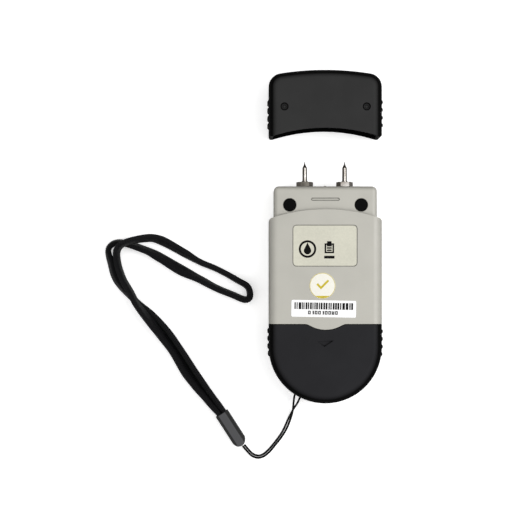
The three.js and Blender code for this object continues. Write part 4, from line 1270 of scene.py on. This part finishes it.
def seven_segments(x, y, w, h, t):
    """The seven bars of one figure, its lower corner at (x, y)."""
    g = 0.25
    middle = y + 0.5 * h
    uprights = [(x, x + t), (x + w - t, x + w)]
    levels = [(y + t / 2 + g, middle - g), (middle + g, y + h - t / 2 - g)]
    across = [(y, y + t), (middle - t / 2, middle + t / 2), (y + h - t, y + h)]
    parts = [bar(x0, x1, y0, y1) for x0, x1 in uprights for y0, y1 in levels]
    return parts + [bar(x + t + g, x + w - t - g, y0, y1) for y0, y1 in across]


def display_marks():
    """Three figures, a point and a scale of blocks, as they show on a display that is off."""
    polygons = []
    for k in range(3):
        polygons += seven_segments(-9.6 + 6.6 * k, DISPLAY_Y - 2.6, 5.0, 8.4, 0.85)
    polygons.append(bar(2.4, 3.2, DISPLAY_Y - 2.6, DISPLAY_Y - 1.8))
    for k in range(11):
        x = -11.0 + 2.05 * k
        polygons.append(bar(x, x + 1.5, DISPLAY_Y - 6.6, DISPLAY_Y - 5.6 + 0.09 * k))
    return polygons


def window_border():
    """The black print round the clear part of the window: four sides that share their corners."""
    half, edge = WINDOW["half"] - 0.15, 0.15
    outer = rounded_rect(-half, half, WINDOW["y0"] + edge, WINDOW["y1"] - edge, 1.85)
    half, edge = VIEW["half"] - 0.2, 0.2
    inner = rounded_rect(-half, half, VIEW["y0"] + edge, VIEW["y1"] - edge, 1.0)
    side = len(outer) // 4
    parts = []
    for k in range(4):
        last = (k + 1) * side % len(outer)
        outside = outer[k * side : (k + 1) * side] + [outer[last]]
        inside = inner[k * side : (k + 1) * side] + [inner[last]]
        parts.append(outside + inside[::-1])
    return parts


def key_icons():
    """A ring with a stroke for power, two bars for hold and three lines for mode."""
    x, y = BUTTONS["power"]
    power = band(x, y, 1.35, 1.75, 0.65 * PI, 2.35 * PI, 20)
    power.append(bar(x - 0.2, x + 0.2, y + 0.6, y + 2.0))
    x, y = BUTTONS["hold"]
    hold = [bar(x + dx - 0.3, x + dx + 0.3, y - 1.4, y + 1.4) for dx in (-0.8, 0.8)]
    x, y = BUTTONS["mode"]
    mode = [bar(x - 1.4, x + 1.4, y + dy - 0.22, y + dy + 0.22) for dy in (-1, 0, 1)]
    return {"power": power, "hold": hold, "mode": mode}


add_marks("display_marks", display_marks(), LCD_PRINT_Z, "lcd_ink")
add_marks("window_border", window_border(), BORDER_Z, "black_ink")
for name, polygons in key_icons().items():
    add_marks(f"{name}_icon", polygons, ICON_Z, "legend_ink", f"{name}_key")

# ---- materials of the CAD nodes that show ----
for part in frame["record"]["subparts"]:
    node = frame["nodes"][part["node"]]
    if not node.hide_render:
        node.data.materials.clear()
        node.data.materials.append(LOOKS[part["material_slot"]])


# ---- floor and light ----
TABLE_GLOW = 0.42  # the table is a white sheet lit from below
TABLE_HALF = 3.0  # in metres
WHITE = (1.0, 1.0, 1.0, 1.0)


def make_floor():
    half = TABLE_HALF
    corners = [(x, y, 0) for x, y in bar(-half, half, -half, half)]
    floor = mesh_object("floor", corners, [(0, 1, 2, 3)])
    shader = Shader("pale_floor")
    color = shader.mix(shader.uneven(0.0, 1.0, 3.0), grey(0.88), grey(0.9))
    glow = {"Emission_Color": WHITE, "Emission_Strength": TABLE_GLOW}
    floor.data.materials.append(shader.finish(color, 0.8, Specular_IOR_Level=0.2, **glow))


def make_light(name, place, size, power):
    """A rectangular light that points at the middle of the table."""
    data = bpy.data.lights.new(name, "AREA")
    data.shape = "RECTANGLE"
    data.size, data.size_y = size
    data.energy = power
    light = bpy.data.objects.new(name, data)
    light.location = place
    light.rotation_euler = (-Vector(place)).to_track_quat("-Z", "Y").to_euler()
    bpy.context.scene.collection.objects.link(light)


STUDIO_RAMP = {"From Min": 0.25, "From Max": 0.95, "To Min": 0.14, "To Max": 1.25}


def make_world():
    """A studio that is bright overhead and darker towards the horizon."""
    world = bpy.data.worlds.new("studio")
    world.use_nodes = True
    nodes, links = world.node_tree.nodes, world.node_tree.links
    place = nodes.new("ShaderNodeTexCoord")
    split = nodes.new("ShaderNodeSeparateXYZ")
    ramp = nodes.new("ShaderNodeMapRange")
    links.new(place.outputs["Generated"], split.inputs[0])
    links.new(split.outputs["Z"], ramp.inputs["Value"])
    ramp.interpolation_type = "SMOOTHSTEP"
    for key, number in STUDIO_RAMP.items():
        ramp.inputs[key].default_value = number
    links.new(ramp.outputs["Result"], nodes["Background"].inputs["Strength"])
    nodes["Background"].inputs["Color"].default_value = WHITE
    bpy.context.scene.world = world


make_floor()
make_world()
make_light("key", (0.62, 0.05, 0.68), (0.3, 0.9), 4.5)
make_light("fill", (-0.8, -0.3, 0.9), (0.8, 0.8), 1.0)
bpy.context.scene.view_settings.view_transform = "Standard"
